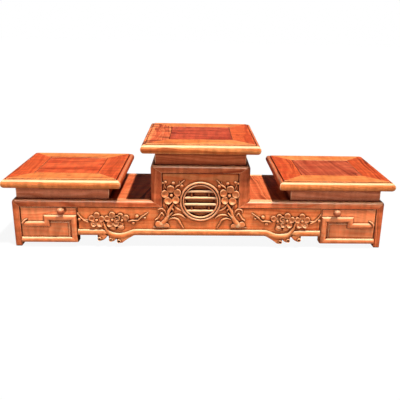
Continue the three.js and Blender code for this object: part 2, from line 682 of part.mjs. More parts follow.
buildBaseFrame();
buildBlock();
buildFrontBoard();
buildBackBoard();
buildDrawers();
for (const [side, sx] of Object.entries(sides)) {
  const top = BASE_HEIGHT + NECK_HEIGHT + PLATFORM_THICKNESS;
  buildNeck(side, sx * WING_NECK_X, WING_NECK_LENGTH, BASE_HEIGHT);
  buildPlatform(side, sx * WING_PLATFORM_X, WING_PLATFORM_SIDE, WING_PLATFORM_SIDE, top);
}
const centerTop = BLOCK_HEIGHT + NECK_HEIGHT + PLATFORM_THICKNESS;
buildNeck('center', 0, BLOCK_LENGTH - 2 * NECK_END_INSET, BLOCK_HEIGHT);
buildPlatform('center', 0, CENTER_PLATFORM_LENGTH, CENTER_PLATFORM_DEPTH, centerTop);

export default group;
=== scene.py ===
"""Tiered altar stand: its finished woods, fine mouldings and carving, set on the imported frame.

Shapes are worked in millimetres and turned into metres when a piece is finished.
"""

import json
import logging
import math
from collections.abc import Iterable, Sequence
from dataclasses import dataclass
from enum import Enum

import bmesh
import bpy
from mathutils import Matrix, Vector

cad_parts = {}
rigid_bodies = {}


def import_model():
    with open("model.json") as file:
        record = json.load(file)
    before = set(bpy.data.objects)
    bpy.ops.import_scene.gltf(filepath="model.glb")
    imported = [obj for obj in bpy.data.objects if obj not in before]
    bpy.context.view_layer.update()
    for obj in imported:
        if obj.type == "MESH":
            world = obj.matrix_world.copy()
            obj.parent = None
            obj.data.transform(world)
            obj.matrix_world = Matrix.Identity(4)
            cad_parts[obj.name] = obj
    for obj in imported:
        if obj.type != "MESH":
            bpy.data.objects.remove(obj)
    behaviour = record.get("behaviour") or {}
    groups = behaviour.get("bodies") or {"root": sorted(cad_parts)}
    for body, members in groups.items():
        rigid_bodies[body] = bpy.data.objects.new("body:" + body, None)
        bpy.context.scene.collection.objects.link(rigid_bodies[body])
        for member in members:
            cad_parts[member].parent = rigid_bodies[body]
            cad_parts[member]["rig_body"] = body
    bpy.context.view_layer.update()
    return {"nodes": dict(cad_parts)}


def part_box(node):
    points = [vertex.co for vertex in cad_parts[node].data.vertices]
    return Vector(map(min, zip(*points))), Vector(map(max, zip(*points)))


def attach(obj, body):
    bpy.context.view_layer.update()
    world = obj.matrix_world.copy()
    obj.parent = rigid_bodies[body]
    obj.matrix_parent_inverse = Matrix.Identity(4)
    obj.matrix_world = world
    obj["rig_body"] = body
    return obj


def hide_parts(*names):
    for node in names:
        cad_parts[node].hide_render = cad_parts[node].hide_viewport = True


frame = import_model()

log = logging.getLogger("altar_stand")

MM = 0.001
SHARP_ANGLE = math.radians(38)
GOLDEN_ANGLE = 2.399963
ROUND_SIDES = 14
# The boards' front face, as y in millimetres, and how deep raised parts are rooted in it.
FRONT_FACE = -106.4
ROOTED = -1.0

Color = tuple[float, float, float, float]
Triple = tuple[float, float, float]
Point = tuple[float, float]
Station = tuple[float, ...]


class Side(Enum):
    """The two wings, with the sign of their x."""

    LEFT = -1
    RIGHT = 1

    @property
    def word(self) -> str:
        """The word that starts the names of this side's pieces."""
        return self.name.lower()

    @property
    def board_grain(self) -> "Grain":
        """The boards' fibres run from front to back and lean a little towards the middle."""
        return Grain.LEANING_RIGHT if self is Side.LEFT else Grain.LEANING_LEFT


class Grain(Enum):
    """The direction in which a board's fibres run, with the turn that brings it onto x."""

    ALONG_X = (0.0, 0.0, 0.0)
    ALONG_Y = (0.0, 0.0, -math.pi / 2)
    ALONG_Z = (0.0, math.pi / 2, 0.0)
    LEANING_RIGHT = (0.0, 0.0, -math.radians(82))
    LEANING_LEFT = (0.0, 0.0, -math.radians(98))


class Member(Enum):
    """The four members of a mitred frame, with their turn about z."""

    FRONT = 0.0
    RIGHT = math.pi / 2
    BACK = math.pi
    LEFT = -math.pi / 2

    @property
    def grain(self) -> Grain:
        """The fibres run along the member."""
        return Grain.ALONG_X if self in (Member.FRONT, Member.BACK) else Grain.ALONG_Y

    @property
    def word(self) -> str:
        """Front and back members are rails, the side ones are stiles."""
        return f"{self.name.lower()}_{'rail' if self.grain is Grain.ALONG_X else 'stile'}"


def srgb(red: int, green: int, blue: int) -> Color:
    """Turns a colour written as 0 to 255 into the linear colour that nodes take.

    Args:
        red: Red from 0 to 255.
        green: Green from 0 to 255.
        blue: Blue from 0 to 255.

    Returns:
        The colour as linear red, green, blue and an alpha of 1.
    """
    linear = [
        value / 12.92 if value <= 0.04045 else ((value + 0.055) / 1.055) ** 2.4
        for value in (red / 255, green / 255, blue / 255)
    ]
    return (linear[0], linear[1], linear[2], 1.0)


# Painted shade in hollows and corners, with the dark lacquer that gathers there.
PAINTED_HOLLOW_SHADE = srgb(66, 14, 6)
# Pale worn arrises, and painted highlights on round edges and on faces turned up.
WORN_ARRIS_AND_HIGHLIGHT = srgb(255, 206, 150)
# Painted shade of the overhang, multiplied onto everything above the heights below.
PAINTED_OVERHANG_SHADE = srgb(204, 200, 206)
DEEP_SHADE = srgb(52, 26, 14)
OVERHANG_SHADE_HEIGHTS = (112 * MM, 138 * MM)
ARRIS_DEPTH = 1.6 * MM

# How often each mark of the wood comes in a metre: along the fibres, and twice across them.
DRIFTS = (3.2, 15.0, 15.0)
CLOUDS = (4.5, 38.0, 38.0)
FIBRES = (14.0, 420.0, 420.0)
CURLS = (95.0, 22.0, 22.0)
PORES = (190.0, 2300.0, 2300.0)
WORN_PATCHES = (60.0, 180.0, 180.0)
GROWTH_RINGS = 150.0
# How far the fibres wander across their line, in metres.
WANDER = (0.0, 0.055, 0.055)

# The two values of its noise between which each mark of the wood comes in.
STREAKED_CLOUD = (0.46, 0.72)
STREAKED_RING = (0.44, 0.62)
LATE_WOOD = (0.36, 0.64)
DARK_FIBRE = (0.40, 0.68)
OPEN_PORE = (0.60, 0.70)
CURL_TURN = (0.30, 0.70)
WORN_PATCH = (0.2, 0.55)
# The same for the painted shade in hollows, the pale worn arrises and the painted highlights, by how closed
# in, how thin or how level the surface is.
IN_HOLLOW = (0.05, 0.36)
BESIDE_HOLLOW = (0.02, 0.22)
UNDER_HOLLOW = (0.1, 0.45)
ON_ARRIS = (0.28, 0.6)
FACING_UP = (0.15, 0.85)
SLOPING = (0.4, 0.7)
LEVEL = (0.93, 0.98)

# How strongly fibres and pores show in the tone, in the relief and in the shine.
FIBRE_TONE = 0.55
FIBRE_RELIEF = 0.35
PORE_TONE = 0.5
PORE_DULLNESS = 0.4
CLOUD_DULLNESS = 0.6


# Node trees

VECTOR, COLOR, VALUE = "NodeSocketVector", "NodeSocketColor", "NodeSocketFloat"


class Graph:
    """Adds nodes to one node tree and links them."""

    def __init__(self, tree: bpy.types.NodeTree) -> None:
        """Keeps the tree that the nodes go into."""
        self.tree = tree

    def add(self, kind: str, **settings: object) -> bpy.types.Node:
        """Adds a node and sets its properties.

        Args:
            kind: The node's type name.
            settings: Properties of the node by name.

        Returns:
            The new node.
        """
        node = self.tree.nodes.new(kind)
        for name, value in settings.items():
            setattr(node, name, value)
        return node

    def feed(self, socket: bpy.types.NodeSocket, value: object) -> None:
        """Links a socket to another one, or sets its value.

        Args:
            socket: The input socket.
            value: An output socket, a number, or a vector or colour.
        """
        if isinstance(value, bpy.types.NodeSocket):
            self.tree.links.new(value, socket)
        else:
            socket.default_value = value

    def use(self, tree: bpy.types.NodeTree, values: dict[str, object]) -> bpy.types.Node:
        """Adds a group node and feeds its inputs.

        Args:
            tree: The group's node tree.
            values: An output socket or a plain value for each input's name.

        Returns:
            The group node.
        """
        node = self.add("ShaderNodeGroup", node_tree=tree)
        for name, value in values.items():
            self.feed(node.inputs[name], value)
        return node

    def math(
        self, operation: str, first: object, second: object = 0.0, clamp: bool = False
    ) -> bpy.types.NodeSocket:
        """Works out one number from two.

        Args:
            operation: The Math node's operation.
            first: A socket or a number.
            second: A socket or a number.
            clamp: Whether the result is held between 0 and 1.

        Returns:
            The result's socket.
        """
        node = self.add("ShaderNodeMath", operation=operation, use_clamp=clamp)
        self.feed(node.inputs[0], first)
        self.feed(node.inputs[1], second)
        return node.outputs[0]

    def rest(self, value: object) -> bpy.types.NodeSocket:
        """Gives what a value leaves of 1."""
        return self.math("SUBTRACT", 1.0, value)

    def vector_math(self, operation: str, first: object, second: object) -> bpy.types.NodeSocket:
        """Works out one vector from two.

        Args:
            operation: The Vector Math node's operation.
            first: A socket or three numbers.
            second: A socket or three numbers.

        Returns:
            The result's socket.
        """
        node = self.add("ShaderNodeVectorMath", operation=operation)
        self.feed(node.inputs[0], first)
        self.feed(node.inputs[1], second)
        return node.outputs[0]

    def noise(
        self, place: object, marks: Triple, detail: float = 2.0, roughness: float = 0.5
    ) -> bpy.types.Node:
        """Adds a Noise Texture of scale 1 on a stretched vector.

        Args:
            place: The vector's socket, in metres.
            marks: How many marks come in a metre on each axis.
            detail: How many finer layers it has.
            roughness: How strong the finer layers are.

        Returns:
            The node.
        """
        node = self.add("ShaderNodeTexNoise")
        self.feed(node.inputs["Vector"], self.vector_math("MULTIPLY", place, marks))
        node.inputs["Scale"].default_value = 1.0
        node.inputs["Detail"].default_value = detail
        node.inputs["Roughness"].default_value = roughness
        return node

    def band(self, value: object, low: float, high: float) -> bpy.types.NodeSocket:
        """Turns a value into 0 at low and 1 at high, with a soft turn at both ends.

        Args:
            value: A socket.
            low: The value that gives 0.
            high: The value that gives 1.

        Returns:
            The result's socket.
        """
        node = self.add("ShaderNodeMapRange", interpolation_type="SMOOTHSTEP")
        self.feed(node.inputs["Value"], value)
        self.feed(node.inputs["From Min"], low)
        self.feed(node.inputs["From Max"], high)
        return node.outputs["Result"]

    def blend(
        self, factor: object, first: object, second: object, mode: str = "MIX"
    ) -> bpy.types.NodeSocket:
        """Mixes two colours.

        Args:
            factor: How much of the second colour is taken.
            first: A socket or a colour.
            second: A socket or a colour.
            mode: The Mix node's blend type.

        Returns:
            The mixed colour's socket.
        """
        node = self.add("ShaderNodeMix", data_type="RGBA", blend_type=mode)
        self.feed(node.inputs["Factor"], factor)
        self.feed(node.inputs[6], first)
        self.feed(node.inputs[7], second)
        return node.outputs[2]


def new_group(name: str, inputs: dict[str, str], outputs: dict[str, str]) -> tuple[Graph, dict, dict]:
    """Makes an empty shader node group with named sockets.

    Args:
        name: The group's name.
        inputs: Socket kind by name, such as {"Vector": "NodeSocketVector"}.
        outputs: The same for what comes out.

    Returns:
        The graph of the group, its input sockets by name and its output sockets by name.
    """
    tree = bpy.data.node_groups.new(name, "ShaderNodeTree")
    for label, kind in inputs.items():
        tree.interface.new_socket(name=label, in_out="INPUT", socket_type=kind)
    for label, kind in outputs.items():
        tree.interface.new_socket(name=label, in_out="OUTPUT", socket_type=kind)
    graph = Graph(tree)
    entry = graph.add("NodeGroupInput")
    leave = graph.add("NodeGroupOutput")
    given = {label: entry.outputs[label] for label in inputs}
    wanted = {label: leave.inputs[label] for label in outputs}
    return graph, given, wanted


def build_grain_group() -> bpy.types.NodeTree:
    """Builds the rosewood figure: growth rings, dark streaks, curl across the fibres and open pores.

    The vector is in metres with the fibres along x.

    Returns:
        The node group.
    """
    graph, given, wanted = new_group(
        "rosewood_figure",
        {
            "Vector": VECTOR,
            **dict.fromkeys(("Light", "Middle", "Dark"), COLOR),
            **dict.fromkeys(("Streaks", "Curl"), VALUE),
        },
        {"Color": COLOR, "Height": VALUE, "Dullness": VALUE},
    )
    place = given["Vector"]
    drift = graph.noise(place, DRIFTS, detail=3.0).outputs["Color"]
    drift = graph.vector_math("SUBTRACT", drift, (0.5, 0.5, 0.5))
    bent = graph.vector_math("ADD", place, graph.vector_math("MULTIPLY", drift, WANDER))

    from_heart = graph.add("ShaderNodeVectorMath", operation="LENGTH")
    graph.feed(from_heart.inputs[0], graph.vector_math("MULTIPLY", bent, (0.0, 1.0, 1.0)))
    rings = graph.add("ShaderNodeTexNoise", noise_dimensions="1D")
    graph.feed(rings.inputs["W"], from_heart.outputs["Value"])
    rings.inputs["Scale"].default_value = GROWTH_RINGS
    rings.inputs["Detail"].default_value = 3.0
    ring = rings.outputs["Fac"]

    clouds = graph.noise(bent, CLOUDS).outputs["Fac"]
    streak = graph.math("MULTIPLY", graph.band(clouds, *STREAKED_CLOUD), graph.band(ring, *STREAKED_RING))
    streak = graph.math("MULTIPLY", streak, given["Streaks"], clamp=True)
    fibres = graph.noise(bent, FIBRES, detail=3.0, roughness=0.6).outputs["Fac"]
    fibre_tone = graph.math("MULTIPLY", graph.band(fibres, *DARK_FIBRE), FIBRE_TONE)
    pore = graph.band(graph.noise(place, PORES, detail=1.0).outputs["Fac"], *OPEN_PORE)
    curl = graph.noise(bent, CURLS, detail=1.5).outputs["Fac"]
    shine = graph.math("SUBTRACT", graph.band(curl, *CURL_TURN), 0.5)
    shine = graph.math("ADD", graph.math("MULTIPLY", shine, given["Curl"]), 1.0)

    color = graph.blend(graph.band(ring, *LATE_WOOD), given["Light"], given["Middle"])
    color = graph.blend(fibre_tone, color, given["Middle"])
    color = graph.blend(streak, color, given["Dark"])
    shaded = graph.add("ShaderNodeVectorMath", operation="SCALE")
    graph.feed(shaded.inputs[0], color)
    graph.feed(shaded.inputs["Scale"], shine)
    color = graph.blend(graph.math("MULTIPLY", pore, PORE_TONE), shaded.outputs[0], given["Dark"])
    graph.feed(wanted["Color"], color)
    relief = graph.math("MULTIPLY", fibres, FIBRE_RELIEF)
    graph.feed(wanted["Height"], graph.math("SUBTRACT", relief, pore))
    dull_clouds = graph.math("MULTIPLY", clouds, CLOUD_DULLNESS)
    dull_pores = graph.math("MULTIPLY", pore, PORE_DULLNESS)
    graph.feed(wanted["Dullness"], graph.math("ADD", dull_clouds, dull_pores))
    return graph.tree


def build_age_group(fixed: bool) -> bpy.types.NodeTree:
    """Builds painted shade in hollows, with their dark lacquer, and on upper parts, pale worn arrises and
    painted highlights.

    Args:
        fixed: Whether the corners against neighbouring pieces count as hollows too.

    Returns:
        The node group.
    """
    graph, given, wanted = new_group(
        "hollows_and_arrises_fixed" if fixed else "hollows_and_arrises_moving",
        {
            "Vector": VECTOR,
            "Color": COLOR,
            **dict.fromkeys(("Hollow", "Reach", "Arris", "Wiped", "Rubbed Edge", "Smoke", "Height"), VALUE),
        },
        {"Color": COLOR, "Hollow Mask": VALUE},
    )
    # Painted shade, with dark lacquer, where the surface is closed in within reach.
    shelter = graph.add("ShaderNodeAmbientOcclusion", samples=6, only_local=not fixed)
    graph.feed(shelter.inputs["Distance"], given["Reach"])
    closed = graph.rest(shelter.outputs["AO"])
    hollow = graph.math("MULTIPLY", graph.band(closed, *IN_HOLLOW), given["Hollow"], clamp=True)

    # Pale worn arrises on thin edges, which also paint their highlights.
    thin = graph.add("ShaderNodeAmbientOcclusion", samples=6, only_local=True, inside=True)
    thin.inputs["Distance"].default_value = ARRIS_DEPTH
    worn = graph.band(graph.noise(given["Vector"], WORN_PATCHES).outputs["Fac"], *WORN_PATCH)
    arris = graph.math("MULTIPLY", graph.band(graph.rest(thin.outputs["AO"]), *ON_ARRIS), worn)
    arris = graph.math("MULTIPLY", arris, graph.rest(graph.band(closed, *BESIDE_HOLLOW)))
    arris = graph.math("MULTIPLY", arris, given["Arris"], clamp=True)

    # Painted light on faces turned up and a painted highlight on sloping round edges, not in hollows.
    normal = graph.add("ShaderNodeSeparateXYZ")
    graph.feed(normal.inputs[0], graph.add("ShaderNodeNewGeometry").outputs["Normal"])
    upward = normal.outputs["Z"]
    wiped = graph.math("MULTIPLY", graph.band(upward, *FACING_UP), given["Wiped"])
    sloping = graph.math("SUBTRACT", graph.band(upward, *SLOPING), graph.band(upward, *LEVEL))
    painted_highlights = graph.math("MAXIMUM", wiped, graph.math("MULTIPLY", sloping, given["Rubbed Edge"]))
    painted_highlights = graph.math("MULTIPLY", painted_highlights, graph.rest(graph.band(closed, *UNDER_HOLLOW)))

    # Painted shade of the overhang on the upper part.
    smoke = graph.math("MULTIPLY", graph.band(given["Height"], *OVERHANG_SHADE_HEIGHTS), given["Smoke"])
    color = graph.blend(smoke, given["Color"], PAINTED_OVERHANG_SHADE, "MULTIPLY")
    color = graph.blend(hollow, color, PAINTED_HOLLOW_SHADE)
    graph.feed(wanted["Color"], graph.blend(graph.math("MAXIMUM", arris, painted_highlights), color, WORN_ARRIS_AND_HIGHLIGHT))
    graph.feed(wanted["Hollow Mask"], hollow)
    return graph.tree


@dataclass(frozen=True)
class Wood:
    """One finish of the stand: its tones, its figure, its lacquer, its marks of use and its painted light
    and shade.

    hollow and the other four mark fields say how strong each mark is, from 0 to 1: painted shade, with dark
    lacquer, in hollows within reach; pale worn arrises that also paint highlights; painted shade on the
    upper part; painted light on faces turned up; and a painted highlight on the round edge.
    """

    slot: str
    light: Color
    middle: Color
    dark: Color
    streaks: float = 0.6
    curl: float = 0.16
    roughness: float = 0.34
    lacquer: float = 1.0
    lacquer_roughness: float = 0.22
    hollow: float = 0.75
    arris: float = 0.6
    reach: float = 4 * MM
    smoke: float = 0.0
    wiped: float = 0.0
    rubbed_edge: float = 0.0
    grain_depth: float = 0.12 * MM


TOP_RAIL = Wood(
    "platform_frame", srgb(246, 150, 82), srgb(230, 120, 58), srgb(150, 54, 22),
    streaks=0.8, curl=0.3, hollow=1.0, reach=6 * MM, rubbed_edge=0.6,
)
TOP_STILE = Wood(
    "platform_frame", srgb(228, 100, 50), srgb(204, 74, 34), srgb(108, 28, 10),
    streaks=0.8, curl=0.3, hollow=1.0, arris=0.8, rubbed_edge=0.24,
)
CURLY_STILE = Wood(
    "platform_frame", srgb(246, 140, 84), srgb(190, 66, 36), srgb(96, 24, 14), streaks=1.0, curl=1.1,
)
TOP_PANEL = Wood(
    "platform_panel", srgb(232, 104, 56), srgb(206, 74, 36), srgb(140, 40, 16), streaks=0.8, curl=0.3,
)
SHOWY_PANEL = Wood(
    "platform_panel", srgb(210, 88, 56), srgb(178, 60, 38), srgb(92, 28, 20), streaks=1.0, curl=0.34,
)
BROWN_PANEL = Wood(
    "platform_panel", srgb(208, 98, 62), srgb(180, 70, 42), srgb(92, 28, 14), streaks=1.0, curl=0.3,
)
NECK = Wood(
    "neck", srgb(222, 132, 90), srgb(204, 110, 70), srgb(134, 60, 38),
    streaks=0.5, roughness=0.42, hollow=0.9, reach=12 * MM,
)
CENTER_NECK = Wood(
    "neck", srgb(206, 108, 64), srgb(184, 86, 46), srgb(120, 46, 24),
    streaks=0.6, roughness=0.42, hollow=0.9, reach=12 * MM,
)
DECK = Wood(
    "deck", srgb(232, 122, 72), srgb(208, 94, 52), srgb(112, 42, 22),
    streaks=0.9, curl=0.3, roughness=0.4, reach=10 * MM,
)
FRAME_WOOD = Wood(
    "body_frame", srgb(236, 126, 74), srgb(210, 96, 50), srgb(122, 44, 20),
    streaks=0.95, curl=0.3, wiped=0.25,
)
# A paler copy of the frame wood for the right rails, which paints the sunlight they catch.
SUNLIT_RIGHT_FRAME = Wood(
    "body_frame", srgb(255, 148, 92), srgb(250, 120, 66), srgb(166, 62, 36),
    streaks=0.8, curl=0.3, wiped=0.55,
)
BLOCK_WOOD = Wood(
    "body_frame", srgb(236, 126, 74), srgb(200, 92, 50), srgb(104, 36, 18),
    streaks=1.0, curl=0.36, smoke=0.5, wiped=0.35,
)
CARVED = Wood(
    "carved_front", srgb(255, 150, 86), srgb(254, 126, 66), srgb(180, 68, 32),
    streaks=0.6, curl=0.24, hollow=1.0, arris=0.7, reach=5.5 * MM, smoke=0.7,
)
RELIEF = Wood(
    "carved_front", srgb(255, 162, 100), srgb(255, 138, 78), srgb(188, 76, 38),
    streaks=0.2, lacquer=0.35, hollow=1.0, arris=0.7, reach=4.5 * MM, smoke=0.5, wiped=0.5,
)
BEAD_WOOD = Wood(
    "carved_front", srgb(255, 162, 98), srgb(248, 132, 70), srgb(186, 74, 34),
    streaks=0.4, curl=0.24, lacquer=0.7, hollow=1.0, arris=0.4, wiped=0.85,
)
# A paler wood for the rings, which also paints the highlights they catch.
RING_WOOD = Wood(
    "carved_front", srgb(255, 176, 122), srgb(255, 154, 100), srgb(202, 98, 58),
    streaks=0.2, lacquer=0.7, hollow=1.0, wiped=0.7,
)
# A paler wood for the lattice bars, which also paints the highlights they catch.
LATTICE_BAR = Wood(
    "carved_front", srgb(255, 202, 150), srgb(255, 178, 122), srgb(196, 104, 60),
    streaks=0.2, lacquer=0.8, hollow=0.8, arris=0.5, wiped=0.75,
)
# A darker wood for the sunk ground, which also paints the shade of the recess behind the bars.
LATTICE_GROUND = Wood(
    "carved_front", srgb(196, 108, 60), srgb(168, 84, 44), srgb(96, 38, 16),
    streaks=0.5, hollow=1.0, arris=0.0, reach=6 * MM, wiped=0.1,
)
DRAWER_WOOD = Wood(
    "carved_front", srgb(255, 156, 98), srgb(255, 136, 80), srgb(228, 98, 54),
    streaks=0.5, curl=0.24, hollow=1.0, wiped=0.7,
)
KNOB_WOOD = Wood(
    "carved_front", srgb(204, 112, 72), srgb(178, 86, 52), srgb(116, 46, 26),
    streaks=0.4, hollow=1.0, arris=0.2, reach=5 * MM, wiped=0.45,
)
BOX_WOOD = Wood(
    "drawer_inside", srgb(214, 160, 108), srgb(192, 134, 84), srgb(140, 88, 52),
    streaks=0.3, roughness=0.62, lacquer=0.0, hollow=0.4, arris=0.15,
)


class WoodShop:
    """Makes the wood materials and puts each on its piece.

    log_step, log_middle and log_reach say where in the log each piece is cut, in metres. The other
    values say how far light from other wood darkens a piece, how its figure and its hollows dull the
    shine, how deep the fibres feel, how much the wood mirrors and where the gloss fades, edge on.
    """

    log_step = 0.731
    log_middle = 0.075
    log_reach = (0.055, 0.03)
    bounce_shade = 0.6
    figure_dullness = 0.18
    smoother = 0.06
    hollow_dullness = 0.2
    bump_strength = 0.5
    wood_mirror = 0.03
    gloss_fade = (0.30, 0.62)

    def __init__(self) -> None:
        """Builds the shared node groups once."""
        self.grain_group = build_grain_group()
        self.age_groups = {fixed: build_age_group(fixed) for fixed in (True, False)}
        self.cuts = 0

    def next_cut(self) -> Triple:
        """Gives every piece its own place in the log, so that no two boards share their figure.

        Returns:
            How far the piece lies along the log and off its heart, in metres.
        """
        self.cuts += 1
        turn = self.cuts * GOLDEN_ANGLE
        aside, above = self.log_reach
        return (self.log_step * self.cuts, aside * math.cos(turn), self.log_middle + above * math.sin(turn))

    def material(self, name: str, wood: Wood, grain: Grain, fixed: bool) -> bpy.types.Material:
        """Makes one piece's material.

        Args:
            name: The piece's name.
            wood: Its finish.
            grain: The way its fibres run.
            fixed: Whether it stays beside its neighbours, so that painted shade falls in the corners against
                them too.

        Returns:
            The material.
        """
        material = bpy.data.materials.new(f"{wood.slot}_{name}")
        material.use_nodes = True
        graph = Graph(material.node_tree)
        shader = material.node_tree.nodes["Principled BSDF"]
        place = graph.add("ShaderNodeTexCoord").outputs["Object"]
        laid = graph.add("ShaderNodeMapping")
        graph.feed(laid.inputs["Vector"], place)
        laid.inputs["Rotation"].default_value = grain.value
        laid.inputs["Location"].default_value = self.next_cut()

        figure = graph.use(self.grain_group, {
            "Vector": laid.outputs[0],
            "Light": wood.light,
            "Middle": wood.middle,
            "Dark": wood.dark,
            "Streaks": wood.streaks,
            "Curl": wood.curl,
        })
        heights = graph.add("ShaderNodeSeparateXYZ")
        graph.feed(heights.inputs[0], place)
        shade_and_wear = graph.use(self.age_groups[fixed], {
            "Vector": laid.outputs[0],
            "Color": figure.outputs["Color"],
            "Hollow": wood.hollow,
            "Reach": wood.reach,
            "Arris": wood.arris,
            "Wiped": wood.wiped,
            "Rubbed Edge": wood.rubbed_edge,
            "Smoke": wood.smoke,
            "Height": heights.outputs["Z"],
        })
        bounced = graph.add("ShaderNodeLightPath").outputs["Is Diffuse Ray"]
        bounced = graph.math("MULTIPLY", bounced, self.bounce_shade)
        shaded = graph.blend(bounced, shade_and_wear.outputs["Color"], DEEP_SHADE)
        graph.feed(shader.inputs["Base Color"], shaded)

        dulled = graph.math("MULTIPLY", figure.outputs["Dullness"], self.figure_dullness)
        rough = graph.math("ADD", dulled, wood.roughness - self.smoother)
        caked = graph.math("MULTIPLY", shade_and_wear.outputs["Hollow Mask"], self.hollow_dullness)
        graph.feed(shader.inputs["Roughness"], graph.math("ADD", rough, caked, clamp=True))
        bump = graph.add("ShaderNodeBump")
        bump.inputs["Strength"].default_value = self.bump_strength
        bump.inputs["Distance"].default_value = wood.grain_depth
        graph.feed(bump.inputs["Height"], figure.outputs["Height"])
        graph.feed(shader.inputs["Normal"], bump.outputs["Normal"])
        shader.inputs["Specular IOR Level"].default_value = self.wood_mirror
        edge_on = graph.add("ShaderNodeLayerWeight").outputs["Facing"]
        gloss = graph.rest(graph.band(edge_on, *self.gloss_fade))
        graph.feed(shader.inputs["Coat Weight"], graph.math("MULTIPLY", gloss, wood.lacquer))
        shader.inputs["Coat Roughness"].default_value = wood.lacquer_roughness
        return material

    def dress(self, piece: bpy.types.Object, wood: Wood, grain: Grain) -> None:
        """Puts the finish on a piece as its only material.

        Args:
            piece: The piece, which already rides on its body.
            wood: Its finish.
            grain: The way its fibres run.
        """
        fixed = "drawer" not in piece["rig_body"]
        material = self.material(piece.name, wood, grain, fixed)
        piece.data.materials.clear()
        piece.data.materials.append(material)


# Shaping tools


def smooth_value(before: float, start: float, end: float, after: float, t: float) -> float:
    """Gives one value between start and end, on a smooth curve through four values.

    Args:
        before: The value before the start.
        start: The value at a t of 0.
        end: The value at a t of 1.
        after: The value after the end.
        t: The share of the way from start to end.

    Returns:
        The value.
    """
    return 0.5 * (
        2 * start + (end - before) * t
        + (2 * before - 5 * start + 4 * end - after) * t**2
        + (3 * start - before - 3 * end + after) * t**3
    )


def smooth_curve(stations: Sequence[Station], steps: int) -> list[Station]:
    """Draws a smooth curve through the given stations, whose numbers all change smoothly.

    Args:
        stations: Rows of equal length, such as (x, z, half width).
        steps: How many rows there are from one station to the next.

    Returns:
        The rows along the curve, with the first and last station among them.
    """
    padded = [stations[0], *stations, stations[-1]]
    rows = []
    for four in zip(padded, padded[1:], padded[2:], padded[3:]):
        for step in range(steps):
            rows.append(tuple(smooth_value(*values, step / steps) for values in zip(*four)))
    rows.append(tuple(stations[-1]))
    return rows


def circle_stations(
    center: Point, radius: float, sides: int, half_width: float, height: float
) -> list[Station]:
    """Sets the stations of a raised line round a circle.

    Args:
        center: The circle's middle as x and z.
        radius: Its radius.
        sides: How many stations it has.
        half_width: Half the line's width.
        height: The line's height.

    Returns:
        The stations, without the first one again at the end.
    """
    turns = [2 * math.pi * side / sides for side in range(sides)]
    return [
        (center[0] + radius * math.cos(turn), center[1] + radius * math.sin(turn), half_width, height)
        for turn in turns
    ]


def only_verts(parts: Iterable[object]) -> list[bmesh.types.BMVert]:
    """Picks the vertices out of what an operator hands back."""
    return [part for part in parts if isinstance(part, bmesh.types.BMVert)]


def edges_among(parts: Iterable[object], verts: Iterable[bmesh.types.BMVert]) -> list[bmesh.types.BMEdge]:
    """Picks the edges that run between the given vertices."""
    ends = set(verts)
    return [part for part in parts if isinstance(part, bmesh.types.BMEdge) and ends.issuperset(part.verts)]


def merge_into(target: bmesh.types.BMesh, part: bmesh.types.BMesh) -> None:
    """Adds a finished part to a larger mesh and frees the part.

    Args:
        target: The larger mesh.
        part: The part, in the same space.
    """
    mesh = bpy.data.meshes.new("part")
    part.to_mesh(mesh)
    part.free()
    target.from_mesh(mesh)
    bpy.data.meshes.remove(mesh)


def close_holes(mesh: bmesh.types.BMesh) -> None:
    """Fills every open loop of edges with a face.

    Args:
        mesh: The mesh, which is changed.
    """
    open_edges = [edge for edge in mesh.edges if edge.is_boundary]
    if open_edges:
        bmesh.ops.holes_fill(mesh, edges=open_edges, sides=0)


def thicken(mesh: bmesh.types.BMesh, along: Triple) -> list[bmesh.types.BMVert]:
    """Raises a mesh's flat faces into a solid.

    Args:
        mesh: The mesh, which holds only the flat faces.
        along: How far its new end lies from the old one.

    Returns:
        The vertices of the new end.
    """
    grown = bmesh.ops.extrude_face_region(mesh, geom=mesh.faces[:], use_keep_orig=True)["geom"]
    verts = only_verts(grown)
    bmesh.ops.translate(mesh, vec=along, verts=verts)
    return verts


def ease_edges(
    mesh: bmesh.types.BMesh, edges: Sequence[bmesh.types.BMEdge], width: float, segments: int
) -> None:
    """Rounds edges off, and stops where two of them would meet.

    Args:
        mesh: The mesh, which is changed.
        edges: The edges.
        width: How far they are taken off.
        segments: How many facets the rounding has.
    """
    bmesh.ops.bevel(
        mesh, geom=edges, offset=width, segments=segments, profile=0.5, affect="EDGES", material=-1,
        clamp_overlap=True,
    )


